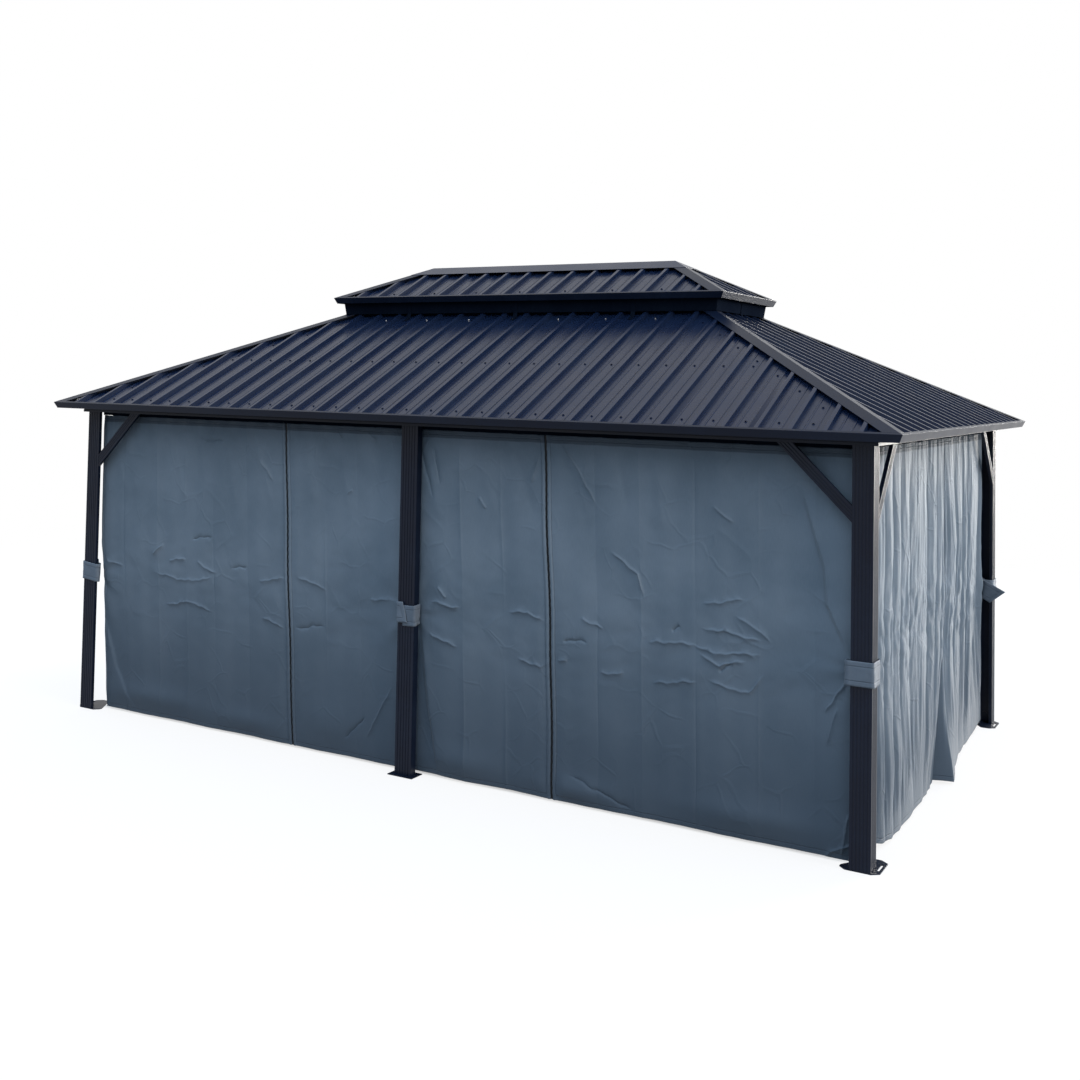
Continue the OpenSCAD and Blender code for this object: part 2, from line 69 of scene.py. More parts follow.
lens = bpy.data.cameras.new("photo_camera")
lens.sensor_width = 36
lens.lens = FOCAL_PX / IMAGE_SIZE * lens.sensor_width
lens.shift_x = 0.5 - CENTRE_PX[0] / IMAGE_SIZE
lens.shift_y = CENTRE_PX[1] / IMAGE_SIZE - 0.5
camera = bpy.data.objects.new("photo_camera", lens)
turn = Matrix((right_axis, up_axis, -ahead)).transposed().to_4x4()
camera.matrix_world = Matrix.Translation(CAMERA_PLACE) @ turn
bpy.context.collection.objects.link(camera)
bpy.context.scene.camera = camera
print("lens", round(lens.lens, 2), "mm, shift", round(lens.shift_x, 4), round(lens.shift_y, 4))

# %% [markdown]
# ## Helpers for colours and nodes
# Colours are written as sRGB hex values, as a paint chart gives them, and one
# function turns them to the linear values that the shaders use. A second
# function adds a node with its settings, values and links in one line.

# %% Colour and node helpers
def colour(code):
    """Linear RGBA of an sRGB hex value."""
    parts = [int(code[i : i + 2], 16) / 255 for i in (1, 3, 5)]
    return (*[p / 12.92 if p <= 0.04045 else ((p + 0.055) / 1.055) ** 2.4 for p in parts], 1.0)


def add(tree, kind, inputs=None, **settings):
    """Adds a node. Settings are its properties; an input is a value, or a socket or node to link."""
    node = tree.nodes.new(kind)
    for name, value in settings.items():
        setattr(node, name, value)
    for name, value in (inputs or {}).items():
        if isinstance(value, bpy.types.Node):
            value = value.outputs[0]
        if isinstance(value, bpy.types.NodeSocket):
            tree.links.new(value, node.inputs[name])
        else:
            node.inputs[name].default_value = value
    return node


def new_finish(name):
    """A material with an empty shader, and its node tree."""
    finish = bpy.data.materials.new(name)
    finish.use_nodes = True
    tree = finish.node_tree
    tree.nodes.clear()
    shader = add(tree, "ShaderNodeBsdfPrincipled")
    add(tree, "ShaderNodeOutputMaterial", {"Surface": shader})
    return finish, tree, shader


print("slate", [round(c, 3) for c in colour("#55636f")])

# %% [markdown]
# ## Light and floor
# Soft daylight: a cool sky that is brighter overhead, a broad low lamp from the
# right that skims along the front, and a second one from behind on the right
# that glances off every face that looks that way. So the right end is bright and
# the front lies in open shade. The camera and reflections see a white room. The
# floor is white to them too, with the shadow left on it, but the light that it
# throws back at the cloth is that of plain paving, and inside the closed gazebo
# it lies in the dark.

# %% Sky and lamps
SKY_TINT = (0.57, 0.77, 1.0, 1.0)
SKY_LOW, SKY_HIGH = 0.38, 2.5
# For each lamp: where it shines from, its strength, its spread in degrees and its tint
LAMPS = {
    "skimming_lamp": ((0.95, -0.15, 0.26), 1.6, 24, (1.0, 0.96, 0.90)),
    "glancing_lamp": ((0.36, 0.92, 0.15), 5.3, 22, (1.0, 0.965, 0.915)),
}

bpy.context.scene.view_settings.view_transform = "Standard"


def seen_rays(tree):
    """1 for the rays of the camera, of reflections and of see-through surfaces, else 0."""
    path = add(tree, "ShaderNodeLightPath")
    seen = path.outputs["Is Camera Ray"]
    for ray in ("Is Glossy Ray", "Is Transmission Ray"):
        seen = add(tree, "ShaderNodeMath", {0: seen, 1: path.outputs[ray]}, operation="MAXIMUM")
    return seen


world = bpy.data.worlds.new("white_room")
bpy.context.scene.world = world
world.use_nodes = True
sky = world.node_tree
sky.nodes.clear()
direction = add(sky, "ShaderNodeTexCoord").outputs["Generated"]
height = add(sky, "ShaderNodeSeparateXYZ", {0: direction}).outputs["Z"]
strength = add(sky, "ShaderNodeMapRange", {0: height, 1: 0.0, 2: 1.0, 3: SKY_LOW, 4: SKY_HIGH})
daylight = add(sky, "ShaderNodeBackground", {"Color": SKY_TINT, "Strength": strength})
white = add(sky, "ShaderNodeBackground", {"Color": (1, 1, 1, 1), "Strength": 1.0})
shown = add(sky, "ShaderNodeMixShader", {0: seen_rays(sky), 1: daylight, 2: white})
add(sky, "ShaderNodeOutputWorld", {"Surface": shown})

for name, (source, power, spread, tint) in LAMPS.items():
    lamp = bpy.data.lights.new(name, "SUN")
    lamp.energy = power
    lamp.angle = math.radians(spread)
    lamp.color = tint
    lamp_object = bpy.data.objects.new(name, lamp)
    lamp_object.matrix_world = Vector(source).to_track_quat("Z", "Y").to_matrix().to_4x4()
    bpy.context.collection.objects.link(lamp_object)
print("sky", SKY_LOW, "to", SKY_HIGH, "and lamps", {name: lamp[1] for name, lamp in LAMPS.items()})

# %% Floor
# Half size of the floor, then the distances where its shadow starts to fade and is gone
FLOOR_HALF = 60
FLOOR_FADE, FLOOR_FAR = 4.0, 10.0
PAVING = (0.12, 0.12, 0.12, 1)
FLOOR_WHITE = (0.98, 0.9, 0.86, 1)
FLOOR_GLOW = 0.85
ROOM_HALF, ROOM_FADE = (2.38, 1.47, 0), 0.1

floor_paint, tree, shader = new_finish("pale_floor_paint")
place = add(tree, "ShaderNodeTexCoord").outputs["Object"]
distance = add(tree, "ShaderNodeVectorMath", {0: place}, operation="LENGTH").outputs["Value"]
clear = add(tree, "ShaderNodeMapRange", {0: distance, 1: FLOOR_FADE, 2: FLOOR_FAR, 3: FLOOR_GLOW, 4: 1.0})
away = add(tree, "ShaderNodeVectorMath", {0: place}, operation="ABSOLUTE")
beyond = add(tree, "ShaderNodeVectorMath", {0: away, 1: ROOM_HALF}, operation="SUBTRACT")
parts = add(tree, "ShaderNodeSeparateXYZ", {0: beyond}).outputs
outside = add(tree, "ShaderNodeMath", {0: parts["X"], 1: parts["Y"]}, operation="MAXIMUM")
open_air = add(tree, "ShaderNodeMapRange", {0: outside, 1: 0.0, 2: ROOM_FADE})
clear = add(tree, "ShaderNodeMath", {0: clear, 1: open_air}, operation="MULTIPLY")
shader.inputs["Base Color"].default_value = PAVING
shader.inputs["Roughness"].default_value = 0.9
shader.inputs["Specular IOR Level"].default_value = 0.0
shaded = add(tree, "ShaderNodeBsdfDiffuse", {"Color": FLOOR_WHITE})
glow = add(tree, "ShaderNodeEmission", {"Color": (1, 1, 1, 1), "Strength": 1.0})
pale = add(tree, "ShaderNodeMixShader", {0: clear, 1: shaded, 2: glow})
mixed = add(tree, "ShaderNodeMixShader", {0: seen_rays(tree), 1: shader, 2: pale})
tree.links.new(mixed.outputs[0], tree.nodes["Material Output"].inputs["Surface"])

floor_mesh = bpy.data.meshes.new("floor")
corners = [(-1, -1), (1, -1), (1, 1), (-1, 1)]
floor_mesh.from_pydata([(x * FLOOR_HALF, y * FLOOR_HALF, 0) for x, y in corners], [], [(0, 1, 2, 3)])
floor_mesh.materials.append(floor_paint)
floor = bpy.data.objects.new("floor", floor_mesh)
bpy.context.collection.objects.link(floor)
print("floor", 2 * FLOOR_HALF, "m wide, white from", FLOOR_FAR, "m outwards")

# %% [markdown]
# ## Painted metal
# The posts and beams are extruded aluminium with a powder coat: baked powder
# flows into a fine orange peel and a satin sheen. The roof is steel sheet, coated
# in the coil before it is folded, which is smoother, and its wide pans are never
# quite flat. Both are the same recipe with other numbers: broad patches of thin
# dust change colour and roughness, and a fine grain gives the bump. The grain of
# the powder is about 1 mm, too fine to show here, so it is drawn at 5 mm. The
# tubes under the roof wear dull paint, and the vent's plates and the curtain rails
# a matt one that does not glint.

# %% Paint recipe
# In metres: dust patches, the specks in them, and the slow buckles of a wide pan
PATCH, SPECK, BUCKLE = 0.35, 0.022, 0.3


def painted_metal(name, paint, dust, roughness, specular, grain_mm, grain_depth_mm, pan_mm=0):
    """Paint on metal: dust patches, an uneven sheen and a fine grain in the coat."""
    finish, tree, shader = new_finish(name)
    place = add(tree, "ShaderNodeTexCoord").outputs["Object"]
    patches = add(
        tree, "ShaderNodeTexNoise", {"Vector": place, "Scale": 1 / PATCH, "Detail": 6.0, "Roughness": 0.62})
    dusty = add(tree, "ShaderNodeMapRange", {0: patches, 1: 0.42, 2: 0.72, 3: 0.0, 4: 1.0})
    specks = add(tree, "ShaderNodeTexNoise", {"Vector": place, "Scale": 1 / SPECK, "Detail": 3.0})
    film = add(tree, "ShaderNodeMath", {0: dusty, 1: specks}, operation="MULTIPLY")
    tone = add(tree, "ShaderNodeMix", {0: film, 6: colour(paint), 7: colour(dust)}, data_type="RGBA")
    tree.links.new(tone.outputs[2], shader.inputs["Base Color"])
    sheen = add(tree, "ShaderNodeMapRange", {0: patches, 1: 0.3, 2: 0.75, 3: roughness[0], 4: roughness[1]})
    tree.links.new(sheen.outputs[0], shader.inputs["Roughness"])
    shader.inputs["Specular IOR Level"].default_value = specular
    grain = add(tree, "ShaderNodeTexNoise", {"Vector": place, "Scale": 1000 / grain_mm, "Detail": 2.0})
    coat = add(tree, "ShaderNodeBump", {"Strength": 1.0, "Distance": grain_depth_mm / 1000, "Height": grain})
    if pan_mm:
        buckle = add(tree, "ShaderNodeTexNoise", {"Vector": place, "Scale": 1 / BUCKLE, "Detail": 1.0})
        coat = add(tree, "ShaderNodeBump", {
            "Strength": 1.0, "Distance": pan_mm / 1000, "Height": buckle, "Normal": coat})
    tree.links.new(coat.outputs[0], shader.inputs["Normal"])
    return finish


# Paint, dust, least and most roughness, mirror strength, then grain, its depth and buckles in mm
powder_coat = painted_metal("powder_coated_aluminium", "#0c1322", "#1d2534", (0.32, 0.46), 0.18, 5, 0.05)
roof_coat = painted_metal("coil_coated_steel_sheet", "#111b30", "#1c273b", (0.22, 0.34), 0.18, 8, 0.005, 1.6)
trim_coat = painted_metal("coil_coated_steel_trim", "#0e1626", "#1a2334", (0.28, 0.4), 0.12, 8, 0.01)
frame_paint = painted_metal("painted_steel_tube", "#22252b", "#3a3f47", (0.4, 0.55), 0.2, 5, 0.05)
vent_paint = painted_metal("matt_painted_steel", "#0e131d", "#1a202a", (0.7, 0.85), 0.0, 5, 0.05)
print("paints:", powder_coat.name, roof_coat.name, trim_coat.name, frame_paint.name, vent_paint.name)

# %% [markdown]
# ## Rounded edges
# An extruded or folded profile never has a razor edge: the small radius catches
# a thin line of light, and that line is what makes metal read as metal. The CAD
# solids have sharp edges, so a copy of each node is merged to clean flat faces
# and bevelled by about a millimetre. The copy stands exactly where the node is.

# %% Bevelled copies of the metal nodes
# Points this near are one, faces this near to level are one, and edges sharper than this are rounded
MERGE_GAP, FLAT_ANGLE, EDGE_ANGLE = 1e-5, math.radians(0.5), math.radians(25)
# For each kind of node: its finish, the width of its rounded edges and its slot
PAINTED = {
    "powder": (powder_coat, 0.0012, "post_paint"),
    "roof": (roof_coat, 0.0008, "roof_paint"),
    "trim": (trim_coat, 0.0008, "trim_paint"),
    "frame": (frame_paint, 0.0012, "inner_steel"),
    "vent": (vent_paint, 0.0012, "inner_steel"),
}
# How the names of each kind begin
KINDS = {
    "powder": (
        "post_", "corner_feet", "middle_feet", "beam_",
        "front_braces", "back_braces", "left_braces", "right_braces"),
    "roof": ("lower_roof_", "upper_roof_"),
    "trim": ("eave_trim_", "upper_trim_", "lower_hip_caps", "upper_hip_caps", "ridge_cap"),
    "frame": ("hip_rafters", "side_rafters", "end_rafters", "upper_hip_rafters", "ridge_beam"),
    "vent": ("vent_", "upper_frame_", "curtain_rails"),
}


def new_piece(name, mesh, finish):
    """An object at the origin with one finish."""
    mesh.materials.clear()
    mesh.materials.append(finish)
    piece = bpy.data.objects.new(name, mesh)
    bpy.context.collection.objects.link(piece)
    return piece


def make_plain(piece):
    """Applies the piece's modifiers, so that it is a plain mesh."""
    graph = bpy.context.evaluated_depsgraph_get()
    mesh = bpy.data.meshes.new_from_object(piece.evaluated_get(graph))
    piece.modifiers.clear()
    piece.data = mesh
    return piece


def bevelled(node, finish, width):
    """A merged copy of a CAD node with small rounded edges, which stands for it."""
    shape = bmesh.new()
    shape.from_mesh(nodes[node].data)
    bmesh.ops.remove_doubles(shape, verts=shape.verts, dist=MERGE_GAP)
    bmesh.ops.dissolve_limit(shape, angle_limit=FLAT_ANGLE, verts=shape.verts, edges=shape.edges)
    mesh = bpy.data.meshes.new(node + "_bevelled")
    shape.to_mesh(mesh)
    shape.free()
    piece = new_piece(node + "_bevelled", mesh, finish)
    edge = piece.modifiers.new("edge", "BEVEL")
    edge.width = width
    edge.segments = 2
    edge.limit_method = "ANGLE"
    edge.angle_limit = EDGE_ANGLE
    return make_plain(piece)


triangles = {}
for kind, (finish, width, slot) in PAINTED.items():
    for node in [n for n in nodes if n.startswith(KINDS[kind])]:
        piece = bevelled(node, finish, width)
        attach(piece, "root")
        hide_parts(node)
        triangles[node] = sum(len(p.vertices) - 2 for p in piece.data.polygons)
print(len(triangles), "bevelled nodes,", sum(triangles.values()), "triangles")

# %% [markdown]
# ## Roof screws
# Self-drilling screws with a hexagon head on a wide washer hold the sheets to
# the rafters: a row near the eave, one half way up, one at the vent, and a line
# beside each hip. They repeat, so a small Geometry Nodes tree puts one head on
# every point of a mesh, turned to the direction stored with the point.

# %% Trees that repeat a small mesh
def node_group(name, inputs, output):
    """A Geometry Nodes tree with named inputs and one output: the tree, its inputs and their ids."""
    tree = bpy.data.node_groups.new(name, "GeometryNodeTree")
    ids = {
        label: tree.interface.new_socket(label, in_out="INPUT", socket_type="NodeSocket" + kind).identifier
        for label, kind in inputs.items()
    }
    tree.interface.new_socket(output, in_out="OUTPUT", socket_type="NodeSocketGeometry")
    return tree, add(tree, "NodeGroupInput").outputs, ids


def end_group(tree, copies, finish):
    """Ends a tree: the copies become one mesh with one finish."""
    real = add(tree, "GeometryNodeRealizeInstances", {"Geometry": copies})
    coated = add(tree, "GeometryNodeSetMaterial", {"Geometry": real, "Material": finish})
    add(tree, "NodeGroupOutput", {0: coated})


def run_group(piece, tree, ids, values):
    """Runs a tree on a piece, which becomes a plain mesh."""
    repeat = piece.modifiers.new("repeat", "NODES")
    repeat.node_group = tree
    for label, value in values.items():
        repeat[ids[label]] = value
    make_plain(piece)


print("a repeated piece ends as one plain mesh with one finish")

# %% Screw tree
def screw_tree():
    """Geometry Nodes tree that sets a screw head on every point, along its facing."""
    tree, given, ids = node_group("screw_heads", {
        "Points": "Geometry", "Washer Radius": "Float", "Washer Height": "Float",
        "Head Radius": "Float", "Head Height": "Float", "Finish": "Material"}, "Screws")
    washer = add(tree, "GeometryNodeMeshCylinder", {
        "Vertices": 12, "Radius": given["Washer Radius"], "Depth": given["Washer Height"]})
    head = add(tree, "GeometryNodeMeshCylinder", {
        "Vertices": 6, "Radius": given["Head Radius"], "Depth": given["Head Height"]})
    lift = add(tree, "ShaderNodeMath", {0: given["Head Height"], 1: 0.5}, operation="MULTIPLY")
    offset = add(tree, "ShaderNodeCombineXYZ", {"Z": lift})
    raised = add(tree, "GeometryNodeTransform", {"Geometry": head, "Translation": offset})
    screw = add(tree, "GeometryNodeJoinGeometry")
    for part in (washer, raised):
        tree.links.new(part.outputs[0], screw.inputs[0])
    facing = add(tree, "GeometryNodeInputNamedAttribute", {"Name": "facing"}, data_type="FLOAT_VECTOR")
    turned = add(tree, "FunctionNodeAlignRotationToVector", {"Vector": facing}, axis="Z")
    heads = add(tree, "GeometryNodeInstanceOnPoints", {
        "Points": given["Points"], "Instance": screw, "Rotation": turned})
    end_group(tree, heads, given["Finish"])
    return tree, ids


SCREW_TREE, SCREW_IDS = screw_tree()
WASHER_HIGH, HEAD_HIGH = 0.003, 0.0065
print("inputs of the screw tree:", *SCREW_IDS)


def screws(name, places, finish, washer_mm=8.0, head_mm=5.0):
    """Screw heads at places, a list of (point, facing)."""
    mesh = bpy.data.meshes.new(name)
    mesh.from_pydata([p for p, _ in places], [], [])
    facing = mesh.attributes.new("facing", "FLOAT_VECTOR", "POINT")
    facing.data.foreach_set("vector", np.array([f for _, f in places], dtype=np.float32).ravel())
    piece = new_piece(name, mesh, finish)
    run_group(piece, SCREW_TREE, SCREW_IDS, {
        "Washer Radius": washer_mm / 1000, "Washer Height": WASHER_HIGH,
        "Head Radius": head_mm / 1000, "Head Height": HEAD_HIGH, "Finish": finish})
    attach(piece, "root")
    print(name, len(places), "screws,", len(piece.data.polygons), "faces")


# %% [markdown]
# The roof's own numbers, as in the CAD source: the slope, the half sizes of the
# eaves and the vent, and the spacing of the ribs. A screw goes in the middle of
# a pan, between its two shallow swages, and keeps clear of the hip caps.

# %% Screw places on the roofs
SLOPE = math.radians(25)
RIB_PITCH = 0.1635
PANS = range(-20, 21)
RIDGE_HALF = 0.91
LOW_EAVE, LOW_Z = 1.80, 1.99
VENT_HALF, VENT_ROW = 0.40, 0.08
VENT_LONG, VENT_SHORT = 1.25, 0.35
UP_EAVE, UP_Z = 0.49, 2.7431
TURNS = {"front": (1, 0), "right": (0, 1), "back": (-1, 0), "left": (0, -1)}
LONG_SIDES = ("front", "back")


def to_frame(side, along, out, height):
    """Points from a side's own directions (along it, outwards, up) to the shared frame."""
    c, s = TURNS[side]
    return np.stack([c * along + s * out, s * along - c * out, height + 0 * along], axis=-1)


def roof_point(side, along, out, eave, eave_z):
    """A point on a pan and the direction square to it."""
    reach = eave + (0 if side in LONG_SIDES else RIDGE_HALF)
    height = eave_z + (reach - out) * math.tan(SLOPE)
    point = to_frame(side, np.array(along), np.array(out), np.array(height))
    tip = to_frame(side, np.array(0.0), np.array(math.sin(SLOPE)), np.array(math.cos(SLOPE)))
    return tuple(point), tuple(tip)


def roof_rows(eave, eave_z, insets, hip_clear, hip_from):
    """Screws at insets, pairs of a distance from the eave and a step in pans, and along the hips."""
    found = []
    for side in TURNS:
        long_side = side in LONG_SIDES
        reach = eave + (0 if long_side else RIDGE_HALF)
        widen = RIDGE_HALF if long_side else -RIDGE_HALF
        for inset, step in insets:
            out = reach - inset
            for n in PANS:
                if n % step == 0 and abs(n) * RIB_PITCH < out + widen - hip_clear:
                    found.append(roof_point(side, n * RIB_PITCH, out, eave, eave_z))
        for n in PANS:
            out = abs(n) * RIB_PITCH - widen + hip_clear
            if reach - hip_from > out > reach - eave + VENT_HALF + VENT_ROW:
                found.append(roof_point(side, n * RIB_PITCH, out, eave, eave_z))
    return found


def speckled(name, dark, light, grain_mm, roughness):
    """Small hardware: two tones in fine specks, which also change the roughness."""
    finish, tree, shader = new_finish(name)
    place = add(tree, "ShaderNodeTexCoord").outputs["Object"]
    specks = add(tree, "ShaderNodeTexNoise", {"Vector": place, "Scale": 1000 / grain_mm, "Detail": 2.0})
    tone = add(tree, "ShaderNodeMix", {0: specks, 6: colour(dark), 7: colour(light)}, data_type="RGBA")
    tree.links.new(tone.outputs[2], shader.inputs["Base Color"])
    rough = add(tree, "ShaderNodeMapRange", {0: specks, 3: roughness[0], 4: roughness[1]})
    tree.links.new(rough.outputs[0], shader.inputs["Roughness"])
    return finish, shader


# Bright zinc on small hardware: pale grey metal, slightly cloudy
zinc, shader = speckled("zinc_plated_steel", "#a9adb2", "#d6d9dc", 4, (0.22, 0.42))
shader.inputs["Metallic"].default_value = 1.0

low_screws = roof_rows(LOW_EAVE, LOW_Z, [(0.11, 1), (0.70, 1)], hip_clear=0.15, hip_from=0.16)
screws("lower_roof_screws", low_screws, roof_coat)
vent_screws = []
for side in TURNS:
    long_side = side in LONG_SIDES
    out = (VENT_HALF if long_side else VENT_HALF + RIDGE_HALF) + VENT_ROW
    for n in range(-6, 7, 2):
        if abs(n) * RIB_PITCH < (VENT_LONG if long_side else VENT_SHORT):
            vent_screws.append(roof_point(side, n * RIB_PITCH, out, LOW_EAVE, LOW_Z))
screws("vent_screws", vent_screws, zinc, washer_mm=6.5, head_mm=4.5)
up_screws = roof_rows(UP_EAVE, UP_Z, [(0.10, 2)], hip_clear=0.12, hip_from=0.5)
screws("upper_roof_screws", up_screws, roof_coat)

# %% [markdown]
# ## Ridge cap and vent skirt
# Two folded strips of coated sheet finish the roof. A wide cap lies over the
# ridge, on top of the ribs, and its ends follow the hips. Under the upper eave a
# skirt hangs from the upper frame and keeps driving rain out of the vent; air
# still passes under its lower edge, between the ribs. Both are a profile that
# runs round a rectangle, so one function makes them: each point of the profile
# is a distance outwards and a height, and the corners come out mitred. Narrow
# brackets steady the skirt on the pans.

# %% Folded strips round the roof
SHEET_THICK = 0.0012
CAP_TOP, CAP_HALF = 2.9993, 0.115
# Profiles: distances outwards from the ridge's line, and heights
RIDGE_CAP = [(0.0, CAP_TOP), (CAP_HALF, CAP_TOP - CAP_HALF * math.tan(SLOPE))]
SKIRT = [(0.4012, 2.760), (0.4012, 2.7368), (0.4490, 2.7368), (0.4375, 2.6550), (0.4430, 2.6535)]
BRACKET = [(0.4505, 2.7330), (0.4405, 2.6540), (0.4530, 2.6215), (0.4960, 2.6015)]
BRACKET_HALF = 0.014
CORNER_SIGNS = ((1, -1), (1, 1), (-1, 1), (-1, -1))


def sheet_metal(name, points, faces, finish):
    """A piece of folded sheet with its thickness."""
    mesh = bpy.data.meshes.new(name)
    mesh.from_pydata(points, [], faces)
    shape = bmesh.new()
    shape.from_mesh(mesh)
    bmesh.ops.remove_doubles(shape, verts=shape.verts, dist=1e-6)
    shape.to_mesh(mesh)
    shape.free()
    piece = new_piece(name, mesh, finish)
    wall = piece.modifiers.new("wall", "SOLIDIFY")
    wall.thickness = SHEET_THICK
    wall.offset = 0
    make_plain(piece)
    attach(piece, "root")
    print(name, len(piece.data.polygons), "faces")


def folded_ring(name, profile, finish):
    """A strip with a folded profile that runs round the roof."""
    points = [(sx * (RIDGE_HALF + out), sy * out, z) for out, z in profile for sx, sy in CORNER_SIGNS]
    rows = range(0, 4 * (len(profile) - 1), 4)
    faces = [(r + (i + 1) % 4, r + i, r + 4 + i, r + 4 + (i + 1) % 4) for r in rows for i in range(4)]
    sheet_metal(name, points, faces, finish)


folded_ring("ridge_flashing", RIDGE_CAP, roof_coat)
folded_ring("vent_skirt", SKIRT, vent_paint)
bracket_points, bracket_faces = [], []
for side in TURNS:
    long_side = side in LONG_SIDES
    for n in (-5, 0, 5) if long_side else (0,):
        for out, z in BRACKET:
            for edge in (-BRACKET_HALF, BRACKET_HALF):
                reach = out + (0 if long_side else RIDGE_HALF)
                bracket_points.append(tuple(to_frame(side, np.array(n * RIB_PITCH + edge), reach, z)))
        first = len(bracket_points) - 2 * len(BRACKET)
        bracket_faces += [(r + 1, r, r + 2, r + 3) for r in range(first, len(bracket_points) - 2, 2)]
sheet_metal("vent_brackets", bracket_points, bracket_faces, vent_paint)

# %% [markdown]
# ## Curtain cloth
# The curtains are woven polyester, piece-dyed grey: a close plain weave with a
# satin face that is smooth at a distance and shows a pale bloom at grazing
# angles. The yarns are half a millimetre apart; they are drawn at 3 mm so that a
# close view shows them. Where the cloth was squeezed it keeps fine straight
# wrinkles, the edges of flat facets a hand wide. The weave follows the cloth, so
# it reads the cloth's own UV map, whose units are metres. Rows of stitching hold
# the hems, 24 mm from every edge, and a doubled header stiffens the top; a band
# as deep as the header is drawn darker. The tone is also darkened towards the
# hem, as painted shade.

# %% Woven polyester
# In metres: yarn spacing, a slub, faded patches, facets and their edges, how those wander,
# and the patches that were squeezed
YARN = 0.003
SLUB = (0.004, 0.04)
FADE = 0.4
FACET, WRINKLE = 0.17, 0.0015
DRIFT, BEND = 0.2, (0.14, 0.14, 0.0)
HANDLED = 0.3
WAVE_PERIOD = 2 * math.pi / 20  # of a wave texture whose scale is 1
HEM_STITCH = 0.024
HEADER, HEADER_EDGE = 0.042, 0.003
# Painted shade: the colour the cloth darkens to at the hem, and the height in metres where that shade ends
HEM_SHADE, HEM_SHADE_END = "#434c56", 1.3
CLOTH_TOP, HEM_Z = 1.929, 0.018
DROP = CLOTH_TOP - HEM_Z


